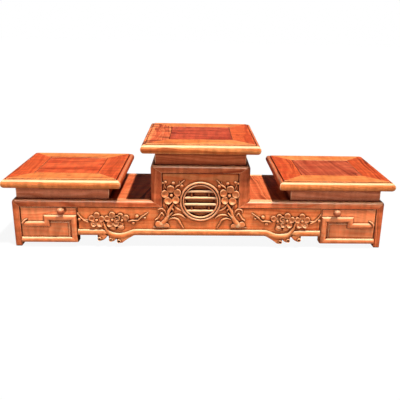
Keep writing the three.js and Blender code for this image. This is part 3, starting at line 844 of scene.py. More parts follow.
def raised_line(stations: Sequence[Station], closed: bool = False, level: float = 0.0) -> bmesh.types.BMesh:
    """Sweeps an oval section along a line on the front face, with mitred corners.

    Args:
        stations: Rows of (x, z, half width, height above the level).
        closed: Whether the line runs back into its start.
        level: How high above the face the middle of the section lies.

    Returns:
        The closed mesh in relief space, where z is the height above the face.
    """
    mesh = bmesh.new()
    count = len(stations)
    frames = []
    for index, (x, z, half_width, height) in enumerate(stations):
        before = stations[(index - 1) % count if closed else max(index - 1, 0)]
        after = stations[(index + 1) % count if closed else min(index + 1, count - 1)]
        into = Vector((x - before[0], z - before[1]))
        out = Vector((after[0] - x, after[1] - z))
        into = into.normalized() if into.length > 0 else out.normalized()
        out = out.normalized() if out.length > 0 else into
        along = (into + out).normalized()
        across = Vector((-along.y, along.x))
        widened = half_width / max(0.5, across.dot(Vector((-into.y, into.x))))
        frames.append(Matrix((
            (across.x * widened, 0.0, along.x, x),
            (across.y * widened, 0.0, along.y, z),
            (0.0, height, 0.0, level),
            (0.0, 0.0, 0.0, 1.0),
        )))
    circle = bmesh.ops.create_circle(
        mesh, cap_ends=False, segments=ROUND_SIDES, radius=1.0, matrix=frames[0],
    )
    edges = list({edge for vert in circle["verts"] for edge in vert.link_edges})
    first = edges
    for here, there in zip(frames, frames[1:]):
        grown = bmesh.ops.extrude_edge_only(mesh, edges=edges)["geom"]
        verts = only_verts(grown)
        bmesh.ops.transform(mesh, matrix=there @ here.inverted(), verts=verts)
        edges = edges_among(grown, verts)
    if closed:
        bmesh.ops.bridge_loops(mesh, edges=first + edges)
    close_holes(mesh)
    return mesh


def turned(profile: Sequence[Point], steps: int) -> bmesh.types.BMesh:
    """Turns a profile of (radius, height) once round z and closes it.

    Args:
        profile: The profile from the axis outwards.
        steps: How many facets go round.

    Returns:
        The closed mesh.
    """
    mesh = bmesh.new()
    verts = [mesh.verts.new((radius, 0.0, height)) for radius, height in profile]
    edges = [mesh.edges.new(pair) for pair in zip(verts, verts[1:])]
    bmesh.ops.spin(
        mesh, geom=verts + edges, cent=(0, 0, 0), axis=(0, 0, 1), dvec=(0, 0, 0),
        angle=2 * math.pi, steps=steps, use_merge=True, use_duplicate=False,
    )
    bmesh.ops.remove_doubles(mesh, verts=mesh.verts, dist=1e-4)
    close_holes(mesh)
    return mesh


def pillow(outline: Sequence[Point], low: float, high: float, softness: float) -> bmesh.types.BMesh:
    """Raises an outline into a block and rounds its upper edge.

    Args:
        outline: The corner points in x and z.
        low: Height of the underside.
        high: Height of the top.
        softness: Radius of the rounded edge.

    Returns:
        The closed mesh in relief space.
    """
    mesh = bmesh.new()
    mesh.faces.new([mesh.verts.new((x, z, low)) for x, z in outline])
    top = thicken(mesh, (0, 0, high - low))
    ease_edges(mesh, edges_among(mesh.edges, top), softness, 4)
    return mesh


def box_mesh(low: Sequence[float], high: Sequence[float], softness: float) -> bmesh.types.BMesh:
    """Makes a block between two corners with its edges eased.

    Args:
        low: Its lowest corner.
        high: Its highest corner.
        softness: How far the edges are taken off.

    Returns:
        The closed mesh.
    """
    mesh = bmesh.new()
    size = [b - a for a, b in zip(low, high)]
    middle = [(a + b) / 2 for a, b in zip(low, high)]
    placed = Matrix.Translation(middle) @ Matrix.Diagonal((*size, 1.0))
    bmesh.ops.create_cube(mesh, size=1.0, matrix=placed)
    ease_edges(mesh, mesh.edges[:], softness, 2)
    return mesh


def mitred_member(
    section: Sequence[Point], half_along: float, half_across: float, turn: float
) -> bmesh.types.BMesh:
    """Runs a moulding section along one side of a frame and cuts both ends to a mitre.

    Args:
        section: The outline as (distance in from the outer face, height).
        half_along: Half the frame's size along the member.
        half_across: Half the frame's size across it.
        turn: The member's turn about z, with the front member at 0.

    Returns:
        The closed mesh around the frame's middle.
    """
    mesh = bmesh.new()
    spare = 5.0
    start = -half_along - spare
    mesh.faces.new([mesh.verts.new((start, inset - half_across, height)) for inset, height in section])
    thicken(mesh, (-2 * start, 0, 0))
    for sign in (-1, 1):
        everything = mesh.verts[:] + mesh.edges[:] + mesh.faces[:]
        bmesh.ops.bisect_plane(
            mesh, geom=everything, dist=1e-4, plane_co=(sign * half_along, -half_across, 0),
            plane_no=(sign, 1, 0), clear_outer=True,
        )
        close_holes(mesh)
    bmesh.ops.transform(mesh, matrix=Matrix.Rotation(turn, 4, "Z"), verts=mesh.verts)
    return mesh


def onto_face(mesh: bmesh.types.BMesh) -> None:
    """Stands a mesh up from relief space onto the front face of the boards."""
    upright = Matrix.Translation((0, FRONT_FACE, 0)) @ Matrix.Rotation(math.pi / 2, 4, "X")
    bmesh.ops.transform(mesh, matrix=upright, verts=mesh.verts)


def mirror_half(mesh: bmesh.types.BMesh) -> None:
    """Adds the left half of a carving that was worked on the right.

    Args:
        mesh: The carving in relief space, which is changed.
    """
    copy = bmesh.ops.duplicate(mesh, geom=mesh.verts[:] + mesh.edges[:] + mesh.faces[:])["geom"]
    bmesh.ops.scale(mesh, vec=(-1, 1, 1), verts=only_verts(copy))


def finished(mesh: bmesh.types.BMesh, name: str, body: str, *nodes: str) -> bpy.types.Object:
    """Turns a mesh in millimetres into a piece of the stand.

    Args:
        mesh: The closed mesh, which is freed.
        name: The piece's name.
        body: The CAD body that it rides on.
        nodes: The CAD nodes that it stands for.

    Returns:
        The piece.
    """
    bmesh.ops.scale(mesh, vec=(MM, MM, MM), verts=mesh.verts)
    bmesh.ops.recalc_face_normals(mesh, faces=mesh.faces)
    for face in mesh.faces:
        face.smooth = True
    for edge in mesh.edges:
        edge.smooth = len(edge.link_faces) == 2 and edge.calc_face_angle(0.0) < SHARP_ANGLE
    data = bpy.data.meshes.new(name)
    mesh.to_mesh(data)
    mesh.free()
    piece = bpy.data.objects.new(name, data)
    bpy.context.scene.collection.objects.link(piece)
    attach(piece, body)
    if nodes:
        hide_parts(*nodes)
    log.info("%s: %d faces", name, len(data.polygons))
    return piece


def build_smoothing() -> bpy.types.NodeTree:
    """Builds the node tree that shades gentle edges smooth and leaves sharp ones crisp.

    Returns:
        The geometry node tree, for use as a modifier.
    """
    tree = bpy.data.node_groups.new("smooth_gentle_edges", "GeometryNodeTree")
    tree.interface.new_socket(name="Geometry", in_out="INPUT", socket_type="NodeSocketGeometry")
    tree.interface.new_socket(name="Geometry", in_out="OUTPUT", socket_type="NodeSocketGeometry")
    graph = Graph(tree)
    entry = graph.add("NodeGroupInput")
    leave = graph.add("NodeGroupOutput")
    angle = graph.add("GeometryNodeInputMeshEdgeAngle")
    gentle = graph.add("FunctionNodeCompare", data_type="FLOAT", operation="LESS_THAN")
    graph.feed(gentle.inputs[0], angle.outputs["Unsigned Angle"])
    gentle.inputs[1].default_value = SHARP_ANGLE
    faces = graph.add("GeometryNodeSetShadeSmooth", domain="FACE")
    edges = graph.add("GeometryNodeSetShadeSmooth", domain="EDGE")
    graph.feed(faces.inputs["Geometry"], entry.outputs[0])
    faces.inputs["Shade Smooth"].default_value = True
    graph.feed(edges.inputs["Geometry"], faces.outputs[0])
    graph.feed(edges.inputs["Shade Smooth"], gentle.outputs[0])
    graph.feed(leave.inputs[0], edges.outputs[0])
    return tree


class Bench:
    """Eases and dresses the frame's own nodes, and dresses new pieces."""

    def __init__(self, nodes: dict[str, bpy.types.Object]) -> None:
        """Sets out the wood and the smoothing.

        Args:
            nodes: The frame's nodes by name.
        """
        self.nodes = nodes
        self.shop = WoodShop()
        self.smoothing = build_smoothing()

    def keep(self, name: str, wood: Wood, grain: Grain, eased: float = 0.5) -> None:
        """Keeps a CAD node, eases its arrises and gives it its wood.

        Args:
            name: The node's name.
            wood: Its finish.
            grain: The way its fibres run.
            eased: How much is taken off each sharp arris, in millimetres.
        """
        node = self.nodes[name]
        weld = node.modifiers.new("weld", "WELD")
        weld.merge_threshold = 0.01 * MM
        bevel = node.modifiers.new("eased_arris", "BEVEL")
        bevel.width = eased * MM
        bevel.segments = 2
        bevel.limit_method = "ANGLE"
        bevel.angle_limit = SHARP_ANGLE
        smooth = node.modifiers.new("smooth", "NODES")
        smooth.node_group = self.smoothing
        level = node.modifiers.new("level_faces", "WEIGHTED_NORMAL")
        level.keep_sharp = True
        self.shop.dress(node, wood, grain)
        log.info("%s: kept", name)

    def add(
        self, mesh: bmesh.types.BMesh, name: str, body: str, wood: Wood, grain: Grain, *nodes: str
    ) -> None:
        """Finishes a new mesh and gives it its wood."""
        self.shop.dress(finished(mesh, name, body, *nodes), wood, grain)


# Frame parts kept from the CAD


@dataclass
class BaseFrame:
    """The long low base: corner posts, rails, end boards, decks and the back board."""

    eased: float = 0.45

    def build(self, bench: Bench) -> None:
        """Dresses the kept members, each with its fibres along its length.

        Args:
            bench: Where pieces are dressed.
        """
        for side in Side:
            for face in ("front", "back"):
                bench.keep(f"{side.word}_{face}_post", FRAME_WOOD, Grain.ALONG_Z, self.eased)
                # The right rails take the paler copy, which paints the sunlight they catch.
                rail_wood = FRAME_WOOD if side is Side.LEFT else SUNLIT_RIGHT_FRAME
                bench.keep(f"{side.word}_{face}_rail", rail_wood, Grain.ALONG_X, self.eased)
            bench.keep(f"{side.word}_end_rail", FRAME_WOOD, Grain.ALONG_Y, self.eased)
            bench.keep(f"{side.word}_end_board", CARVED, Grain.ALONG_Y, self.eased)
            bench.keep(f"{side.word}_deck", DECK, side.board_grain, self.eased)
        bench.keep("back_board", CARVED, Grain.ALONG_X, self.eased)


@dataclass
class RaisedBlock:
    """The raised block in the middle."""

    eased: float = 0.45

    def build(self, bench: Bench) -> None:
        """Dresses the kept posts, rails and side boards.

        Args:
            bench: Where pieces are dressed.
        """
        for side in Side:
            for face in ("front", "back"):
                bench.keep(f"block_{side.word}_{face}_post", BLOCK_WOOD, Grain.ALONG_Z, self.eased)
            bench.keep(f"block_{side.word}_rail", BLOCK_WOOD, Grain.ALONG_Y, self.eased)
            bench.keep(f"block_{side.word}_board", CARVED, Grain.ALONG_Y, self.eased)
        for face in ("front", "back"):
            bench.keep(f"block_{face}_rail", BLOCK_WOOD, Grain.ALONG_X, self.eased)


@dataclass
class Neck:
    """The recessed neck under a platform: four boards mitred at the corners."""

    name: str
    wood: Wood = NECK
    wall: float = 14.0
    eased: float = 0.8

    def build(self, bench: Bench) -> None:
        """Replaces the neck's ring with its four boards.

        Args:
            bench: Where pieces are dressed.
        """
        low, high = (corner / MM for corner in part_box(f"{self.name}_neck"))
        half = (high - low) / 2
        middle = (high + low) / 2
        section = [
            (self.eased, low.z), (0.0, low.z + self.eased), (0.0, high.z - self.eased),
            (self.eased, high.z), (self.wall, high.z), (self.wall, low.z),
        ]
        for member in Member:
            along, across = (half.x, half.y) if member.grain is Grain.ALONG_X else (half.y, half.x)
            mesh = mitred_member(section, along, across, member.value)
            bmesh.ops.translate(mesh, vec=(middle.x, middle.y, 0), verts=mesh.verts)
            name = f"{self.name}_neck_{member.name.lower()}_board"
            bench.add(mesh, name, "stand", self.wood, member.grain, f"{self.name}_neck")


@dataclass
class Platform:
    """A square top: mitred frame with a quirk and a round edge, and a floating panel."""

    name: str
    panel_grain: Grain
    panel_wood: Wood = TOP_PANEL
    left_stile_wood: Wood = TOP_STILE
    edge_round: float = 8.0
    quirk: float = 1.5
    quirk_softness: float = 0.25
    quirk_width: float = 2.2
    quirk_cut: float = 2.0
    quirk_foot: float = 0.6
    frame_width: float = 55.0
    joint_ease: float = 0.8
    rail_ease: float = 0.15
    edge_steps: int = 18

    def section(self, top: float, bottom: float, ease: float) -> list[Point]:
        """Draws the frame's section.

        Args:
            top: Height of the upper face.
            bottom: Height of the lower face.
            ease: How far the inner arris is rounded off.

        Returns:
            The outline as (distance in from the outer edge, height).
        """
        round_top = top - self.quirk
        half = (round_top - bottom) / 2
        inner = self.edge_round + self.quirk_width
        outline = [
            (self.frame_width, top - ease),
            (self.frame_width - ease, top),
            (inner + self.quirk_softness, top),
            (inner, top - self.quirk_softness),
            (self.edge_round + self.quirk_foot * self.quirk_width, round_top - self.quirk_cut),
        ]
        for step in range(self.edge_steps + 1):
            angle = math.pi * step / self.edge_steps
            inset = self.edge_round * (1 - math.sin(angle))
            outline.append((inset, round_top - half * (1 - math.cos(angle))))
        outline.append((self.frame_width, bottom))
        return outline

    def build(self, bench: Bench) -> None:
        """Replaces the four frame members and dresses the panel.

        Args:
            bench: Where pieces are dressed.
        """
        nodes = {member: f"{self.name}_platform_{member.word}" for member in Member}
        woods = {Member.LEFT: self.left_stile_wood, Member.RIGHT: TOP_STILE}
        corners = [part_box(node) for node in nodes.values()]
        low = [min(box[0][axis] for box in corners) / MM for axis in range(3)]
        high = [max(box[1][axis] for box in corners) / MM for axis in range(3)]
        half_x, half_y = ((high[axis] - low[axis]) / 2 for axis in range(2))
        middle = ((low[0] + high[0]) / 2, (low[1] + high[1]) / 2, 0)
        for member, node in nodes.items():
            along, across = (half_x, half_y) if member.grain is Grain.ALONG_X else (half_y, half_x)
            ease = self.joint_ease if member.grain is Grain.ALONG_Y else self.rail_ease
            mesh = mitred_member(self.section(high[2], low[2], ease), along, across, member.value)
            bmesh.ops.translate(mesh, vec=middle, verts=mesh.verts)
            wood = woods.get(member, TOP_RAIL)
            bench.add(mesh, f"{node}_moulded", "stand", wood, member.grain, node)
        bench.keep(f"{self.name}_platform_panel", self.panel_wood, self.panel_grain, self.joint_ease)


# Carving

# The profile of a petal's half, as (share of its radius, share of its height): dished, high at the rim.
PETAL = (
    (0.0, 0.34), (0.28, 0.38), (0.5, 0.56), (0.68, 0.88),
    (0.79, 1.0), (0.88, 0.94), (0.95, 0.62), (1.0, -0.3),
)


@dataclass(frozen=True)
class Stroke:
    """A raised line of carving: a twig, a stem or the edge of a leaf.

    lowest is the share of its height that it keeps where it is thinnest, and rise_width is the half
    width that adds a whole height to that. tip_reach and tip_size are shares of its half width.
    """

    points: tuple[Point, ...]
    half_widths: tuple[float, ...]
    height: float = 3.4
    steps: int = 6
    lowest: float = 0.45
    rise_width: float = 3.0
    tip_reach: float = 0.7
    tip_size: float = 0.3

    def tip(self, end: Station, inward: Station) -> Station:
        """Sets the small station that rounds off one end.

        Args:
            end: The station at the end.
            inward: The one beside it.

        Returns:
            A station just beyond the end.
        """
        outward = (Vector(end[:2]) - Vector(inward[:2])).normalized()
        place = Vector(end[:2]) + outward * end[2] * self.tip_reach
        return (place.x, place.y, end[2] * self.tip_size, end[3] * self.tip_size)

    def build(self) -> bmesh.types.BMesh:
        """Sweeps the stroke through its points, lower where it is thin, with rounded ends.

        Returns:
            The closed mesh in relief space.
        """
        rows = [
            (x, z, width, self.height * min(1.0, self.lowest + width / self.rise_width))
            for (x, z), width in zip(self.points, self.half_widths)
        ]
        curve = smooth_curve(rows, self.steps)
        return raised_line([self.tip(*curve[:2]), *curve, self.tip(curve[-1], curve[-2])])


@dataclass(frozen=True)
class Bud:
    """A round bud that stands on a twig and is widest at the share middle of its height."""

    at: Point
    radius: float
    height: float = 4.0
    middle: float = 0.2

    def build(self) -> bmesh.types.BMesh:
        """Makes a plump dome, sunk a little into the ground.

        Returns:
            The closed mesh in relief space.
        """
        mesh = bmesh.new()
        middle = self.middle * self.height
        size = Matrix.Diagonal((self.radius, self.radius, self.height - middle, 1.0))
        shape = Matrix.Translation((*self.at, middle)) @ size
        bmesh.ops.create_uvsphere(mesh, u_segments=16, v_segments=10, radius=1.0, matrix=shape)
        return mesh


@dataclass(frozen=True)
class PlumFlower:
    """A five-petalled plum flower with cupped petals and a round heart.

    spread, length, width and heart are shares of its radius, and rim_tilt says how much lower the
    petal's rim is at its middle than at its tip.
    """

    at: Point
    radius: float
    turn: float = 90.0
    height: float = 5.4
    petals: int = 5
    skipped: tuple[int, ...] = ()
    spread: float = 0.6
    length: float = 0.43
    width: float = 0.4
    heart: float = 0.2
    heart_rise: float = 1.2
    rim_tilt: float = 0.3
    petal_sides: int = 24

    def petal(self, angle: float) -> bmesh.types.BMesh:
        """Makes one cupped petal whose outer rim stands highest.

        Args:
            angle: Its direction from the heart.

        Returns:
            The closed mesh.
        """
        mesh = turned(PETAL, self.petal_sides)
        for vert in mesh.verts:
            if vert.co.z > 0:
                vert.co.z *= 1 - self.rim_tilt + self.rim_tilt * vert.co.x
        size = (self.radius * self.length, self.radius * self.width, self.height)
        bmesh.ops.scale(mesh, vec=size, verts=mesh.verts)
        placed = Matrix.Translation((self.radius * self.spread, 0, 0))
        around = Matrix.Translation((*self.at, 0)) @ Matrix.Rotation(angle, 4, "Z")
        bmesh.ops.transform(mesh, matrix=around @ placed, verts=mesh.verts)
        return mesh

    def build(self) -> bmesh.types.BMesh:
        """Sets the petals round the heart.

        Returns:
            The closed meshes in relief space.
        """
        flower = bmesh.new()
        for index in range(self.petals):
            if index not in self.skipped:
                merge_into(flower, self.petal(math.radians(self.turn + index * 360 / self.petals)))
        heart = Bud(self.at, self.radius * self.heart, self.height * self.heart_rise)
        merge_into(flower, heart.build())
        return flower


@dataclass(frozen=True)
class Leaf:
    """A rounded leaf or stone, higher in its middle than at its edge."""

    outline: tuple[Point, ...]
    height: float = 3.0
    softness: float = 2.4

    def build(self) -> bmesh.types.BMesh:
        """Raises the smoothed outline and rounds its edge."""
        ring = smooth_curve([*self.outline, self.outline[0]], 4)[:-1]
        return pillow(ring, ROOTED, self.height, self.softness)


# The plum spray on a wing, right half; x grows outwards from the middle.
WING_SPRAY = (
    Stroke(((256.3, 76.5), (251.5, 68.5), (244.5, 61.0), (235.0, 56.0)), (1.3, 1.6, 1.8, 2.0)),
    Stroke(((244.0, 60.8), (240.0, 60.4), (234.5, 61.0), (231.0, 60.0)), (1.2, 1.4, 1.2, 1.0), 2.8),
    Bud((253.0, 62.2), 3.9, 4.4),
    Stroke(((230.0, 56.0), (222.0, 50.5), (212.0, 47.5), (203.0, 50.0)), (1.6, 2.0, 2.2, 2.0), 2.6),
    PlumFlower((217.0, 60.8), 17.0, 92.0),
    PlumFlower((184.2, 61.6), 17.5, 86.0, height=5.8),
    PlumFlower((164.6, 60.6), 16.5, 74.0, height=5.0, skipped=(2,)),
    Leaf(((174.0, 41.5), (167.5, 38.5), (161.0, 41.0), (160.5, 47.5), (167.0, 50.5), (173.5, 48.0)), 3.6),
    Leaf(((190.5, 42.5), (184.0, 38.5), (177.5, 40.0), (178.0, 47.0), (185.5, 49.5)), 2.8),
    Stroke(((151.0, 58.6), (141.5, 60.4), (131.0, 61.2), (122.5, 69.0), (109.0, 78.8)),
           (2.0, 1.8, 1.9, 1.6, 1.1)),
    Stroke(((124.0, 67.4), (119.5, 67.8), (114.5, 66.4)), (1.1, 1.0, 0.9), 2.6),
    Bud((132.8, 69.6), 4.2, 4.6),
    Bud((141.0, 54.6), 3.7, 4.2),
    Bud((116.6, 66.0), 2.6, 3.4),
)

# The plum tree beside the round lattice, right half.
BLOCK_TREE = (
    Stroke(((56.0, 99.0), (61.5, 89.5), (66.5, 80.0), (68.0, 70.0), (74.0, 60.0), (82.0, 50.5)),
           (3.0, 3.4, 4.2, 4.4, 5.0, 6.0), 4.8),
    Stroke(((67.5, 70.0), (63.0, 74.5), (58.5, 79.5)), (2.4, 2.6, 1.6), 5.2),
    Stroke(((60.5, 88.5), (57.0, 85.5), (57.5, 82.5)), (1.8, 1.9, 1.4), 4.4),
    Stroke(((65.5, 86.0), (68.5, 90.0), (70.5, 96.5)), (1.6, 1.5, 1.2), 3.4),
    Stroke(((57.5, 98.0), (51.0, 89.5), (46.0, 85.8), (38.8, 83.6)), (1.4, 2.2, 2.4, 1.4)),
    Stroke(((88.6, 79.5), (87.6, 85.0), (81.0, 87.2), (74.6, 83.4), (71.0, 76.0)),
           (1.2, 1.7, 2.0, 1.8, 1.4)),
    Stroke(((94.5, 62.6), (88.4, 66.2), (84.2, 73.0), (80.6, 77.4), (76.6, 72.5)),
           (1.6, 2.0, 2.0, 1.9, 1.4), 3.8),
    Stroke(((67.0, 67.0), (57.5, 72.5), (45.5, 74.6), (36.8, 71.2), (31.0, 66.0)),
           (1.4, 1.9, 2.1, 1.7, 1.0)),
    Stroke(((66.0, 64.0), (56.5, 66.8), (46.6, 63.0), (41.0, 53.5), (35.5, 44.5)),
           (1.5, 2.1, 2.3, 2.1, 1.4), 3.8),
    Stroke(((98.6, 45.6), (90.0, 45.6), (75.0, 45.6), (64.6, 45.6)), (1.0, 1.3, 1.3, 1.0), 3.0),
    Leaf(((92.5, 46.5), (95.6, 52.0), (91.0, 59.6), (84.0, 58.0), (78.0, 54.0), (77.0, 46.5)), 4.2),
    Leaf(((79.0, 46.5), (77.5, 52.5), (71.5, 55.0), (66.4, 52.0), (65.5, 46.5)), 3.4),
    PlumFlower((60.4, 117.0), 21.5, 84.0, height=6.4, spread=0.62, length=0.4, width=0.41, heart=0.17),
    Stroke(((33.4, 150.2), (38.4, 144.8), (43.4, 139.4), (49.0, 136.4), (53.0, 131.5)),
           (1.1, 1.6, 1.8, 1.8, 1.6)),
    Stroke(((43.0, 146.8), (44.0, 143.0), (44.4, 139.6)), (1.1, 1.2, 1.2), 2.8),
    Bud((39.0, 137.2), 3.9, 4.4),
    Bud((56.2, 143.0), 3.7, 4.2),
    Stroke(((56.4, 141.0), (57.4, 137.4), (59.0, 134.0)), (1.1, 1.2, 1.3), 2.8),
    Bud((72.4, 145.4), 3.3, 4.0),
    Bud((77.6, 143.4), 2.7, 3.4),
    Stroke(((74.6, 145.4), (74.6, 138.0), (71.0, 131.0)), (1.1, 1.3, 1.5), 3.0),
)


@dataclass
class CarvedFront:
    """The front board: stepped, scalloped, beaded and carved, with a sunk round lattice.

    Its places are those of the right half, outwards from the stand's middle and up from the floor.
    The leaves' own points are taken inwards from leaf_group.
    """

    seam: float = 256.9
    apron: float = 26.5
    shoulder: float = 90.0
    block_inner: float = 80.0
    crown: float = 165.0
    thickness: float = 20.0
    frame_groove: float = 2.0
    curve_steps: int = 7
    ring_center: float = 103.3
    ring_sides: int = 72
    ring_lines: tuple = ((41.2, 2.6, 3.6), (35.8, 1.9, 2.6))
    sink_radius: float = 35.0
    sink_depth: float = 6.0
    ground_lap: float = 0.4
    ground_back: float = 0.5
    far_bar: float = 21.6
    near_bar: float = 7.1
    half_bar: float = 2.9
    bar_height: float = 3.4
    bar_level: float = -2.6
    post_at: float = 18.2
    half_post: float = 2.175
    post_height: float = 2.8
    post_level: float = -3.6
    end_post_inset: float = 2.6
    half_bead: float = 6.7
    bead_height: float = 4.2
    bead_middle: float = 34.2
    outer_bead: float = 33.2
    dip: float = 168.7
    dip_level: float = 25.0
    leaf_group: float = 217.5
    leaf_root: float = 4.0
    leaf_ledge: float = 2.4
    leaf_run: float = 9.0
    leaf_lift: float = 0.35
    leaf_height: float = 2.6
    leaf_softness: float = 3.0
    eye_radius: float = 3.2
    eye_line: float = 1.5
    eye_height: float = 5.6
    eye_sides: int = 12
    eye_offset: Point = (4.4, 5.2)
    leaves: tuple = (
        ((79.5, 26.5), (67.5, 23.5), (49.5, 8.5), (41.0, 8.5), (40.5, 17.0)),
        ((39.0, 17.5), (36.5, 12.5), (29.5, 11.5), (24.0, 12.0), (23.5, 23.5)),
        ((21.5, 24.5), (15.5, 16.5), (6.5, 13.2), (0.5, 14.0), (0.0, 26.5)),
    )

    def leaf_edge(self, leaf: Sequence[Point]) -> list[Point]:
        """Draws the lower edge of one hanging leaf, right side, from the middle outwards.

        Args:
            leaf: Its notch, bend, tip, belly and end.

        Returns:
            Points along two quadratic curves.
        """
        corners = [(self.leaf_group - inset, height) for inset, height in leaf]
        points = [corners[0]]
        for start, control, end in (corners[:3], corners[2:]):
            for step in range(1, self.curve_steps + 1):
                t = step / self.curve_steps
                points.append(tuple(
                    (1 - t) ** 2 * a + 2 * t * (1 - t) * b + t**2 * c for a, b, c in zip(start, control, end)
                ))
        return points

    def right_edge(self) -> list[Point]:
        """Draws the board's edge from the middle of its lower edge to the middle of its top.

        Returns:
            The corner points in x and z.
        """
        lower = [point for leaf in self.leaves for point in self.leaf_edge(leaf)]
        return [
            *lower, (self.seam, self.apron), (self.seam, self.shoulder),
            (self.block_inner, self.shoulder), (self.block_inner, self.crown),
        ]

    def board(self) -> bmesh.types.BMesh:
        """Cuts the board with its round opening, and a fine groove where it meets the frame.

        Returns:
            The closed mesh in relief space.
        """
        right = self.right_edge()
        outline = [*right, *((-x, z) for x, z in reversed(right))]
        mesh = bmesh.new()
        verts = [mesh.verts.new((x, z, 0.0)) for x, z in outline]
        edges = [mesh.edges.new(pair) for pair in zip(verts, [*verts[1:], verts[0]])]
        opening = bmesh.ops.create_circle(
            mesh, cap_ends=False, segments=self.ring_sides, radius=self.sink_radius,
            matrix=Matrix.Translation((0, self.ring_center, 0)),
        )
        edges += list({edge for vert in opening["verts"] for edge in vert.link_edges})
        bmesh.ops.triangle_fill(mesh, use_beauty=True, use_dissolve=False, edges=edges, normal=(0, 0, 1))
        thicken(mesh, (0, 0, -self.thickness))
        framed = [edge for edge in mesh.edges if all(self.beside_frame(vert.co) for vert in edge.verts)]
        bmesh.ops.bevel(
            mesh, geom=framed, offset=self.frame_groove, segments=1, profile=0.5, affect="EDGES",
            material=-1,
        )
        return mesh

    def beside_frame(self, place: Vector) -> bool:
        """Tells whether a corner of the board's front face touches the frame.

        Args:
            place: The corner in relief space.

        Returns:
            True on the front face's ends, shoulders and crown.
        """
        near = 0.01
        out, up = abs(place.x) + near, place.y + near
        outer = out > self.seam or (out > self.block_inner and up > self.shoulder)
        return place.z > -near and (outer or up > self.crown)

    def ground(self) -> bmesh.types.BMesh:
        """Makes the sunk ground that closes the round opening behind the lattice.

        Returns:
            The closed mesh in relief space.
        """
        radius = self.sink_radius + self.ground_lap
        low, high = self.ground_back - self.thickness, -self.sink_depth
        mesh = turned(((0.0, high), (radius, high), (radius, low), (0.0, low)), self.ring_sides)
        bmesh.ops.translate(mesh, vec=(0, self.ring_center, 0), verts=mesh.verts)
        return mesh

    def bead(self) -> bmesh.types.BMesh:
        """Runs the bead along the lower edge: a middle run that climbs into the stems, and two outer runs.

        Returns:
            The closed meshes in relief space.
        """
        dip, middle, low = self.dip, self.bead_middle, self.dip_level
        wide, height = self.half_bead, self.bead_height
        climb = smooth_curve([
            (dip - 60, middle, wide, height), (dip - 35, middle, wide, height),
            (dip - 26, middle - 1.4, wide, height), (dip - 14, middle - 6.4, wide, height),
            (dip, low, wide, height), (dip + 13, low + 1.6, 6.4, height),
            (dip + 22, low + 6.0, 5.0, height), (dip + 28.5, low + 13.5, 3.6, height),
            (dip + 32.5, low + 24.0, 2.8, height), (205.0, 58.5, 2.2, 3.4),
        ], 5)
        outer = smooth_curve([
            (192.5, 30.6, 1.2, 1.6), (197.0, 32.2, 4.2, 3.2), (203.0, 33.0, 6.2, height),
            (212.0, self.outer_bead, wide, height), (self.seam, self.outer_bead, wide, height),
        ], 5)
        mesh = raised_line([*((-x, *rest) for x, *rest in reversed(climb)), *climb])
        for sign in (-1, 1):
            merge_into(mesh, raised_line([(sign * x, *rest) for x, *rest in outer]))
        return mesh

    def hanging_leaves(self) -> bmesh.types.BMesh:
        """Swells the three leaves that hang below the bead, right side, each with a small scroll eye.

        Returns:
            The closed meshes in relief space.
        """
        mesh = bmesh.new()
        for leaf in self.leaves:
            root_x, root_z = self.leaf_group - leaf[0][0], self.apron + self.leaf_root
            lift = self.leaf_lift * self.leaf_ledge
            outline = [
                (x - self.leaf_ledge * min(1.0, (x - root_x) / self.leaf_run), z + lift)
                for x, z in self.leaf_edge(leaf)
            ]
            outline += [(outline[-1][0] - 0.5, root_z), (root_x + self.leaf_root, root_z)]
            merge_into(mesh, pillow(outline, ROOTED, self.leaf_height, self.leaf_softness))
            eye = (self.leaf_group - leaf[3][0] - self.eye_offset[0], leaf[2][1] + self.eye_offset[1])
            scroll = circle_stations(eye, self.eye_radius, self.eye_sides, self.eye_line, self.eye_height)
            merge_into(mesh, raised_line(scroll, closed=True))
        return mesh

    def rings(self) -> bmesh.types.BMesh:
        """Makes the two rings round the opening.

        Returns:
            The closed meshes in relief space.
        """
        mesh = bmesh.new()
        for radius, half_width, height in self.ring_lines:
            ring = circle_stations((0.0, self.ring_center), radius, self.ring_sides, half_width, height)
            merge_into(mesh, raised_line(ring, closed=True))
        return mesh

    def lattice(self) -> bmesh.types.BMesh:
        """Makes the four level bars before the sunk ground.

        Returns:
            The closed meshes in relief space.
        """
        mesh = bmesh.new()
        for offset in (-self.far_bar, -self.near_bar, self.near_bar, self.far_bar):
            reach = math.sqrt(self.sink_radius**2 - offset**2) - self.ground_lap
            bar = [(x, self.ring_center + offset, self.half_bar, self.bar_height) for x in (-reach, reach)]
            merge_into(mesh, raised_line(bar, level=self.bar_level))
        return mesh

    def uprights(self) -> bmesh.types.BMesh:
        """Makes the short posts between the bars and the two at the ends of the middle gap.

        Returns:
            The closed meshes in relief space.
        """
        mesh = bmesh.new()
        end = self.sink_radius - self.end_post_inset
        spans = [(x, -self.far_bar, -self.near_bar) for x in (-self.post_at, self.post_at)]
        spans += [(x, self.near_bar, self.far_bar) for x in (-self.post_at, self.post_at)]
        spans += [(x, -self.near_bar, self.near_bar) for x in (-end, end)]
        for x, *ends in spans:
            post = [(x, self.ring_center + z, self.half_post, self.post_height) for z in ends]
            merge_into(mesh, raised_line(post, level=self.post_level))
        return mesh

    def carving(self) -> bmesh.types.BMesh:
        """Carves the sprays and trees on the right and mirrors them to the left.

        Returns:
            The closed meshes in relief space.
        """
        mesh = bmesh.new()
        for shape in (*WING_SPRAY, *BLOCK_TREE):
            merge_into(mesh, shape.build())
        merge_into(mesh, self.hanging_leaves())
        mirror_half(mesh)
        return mesh

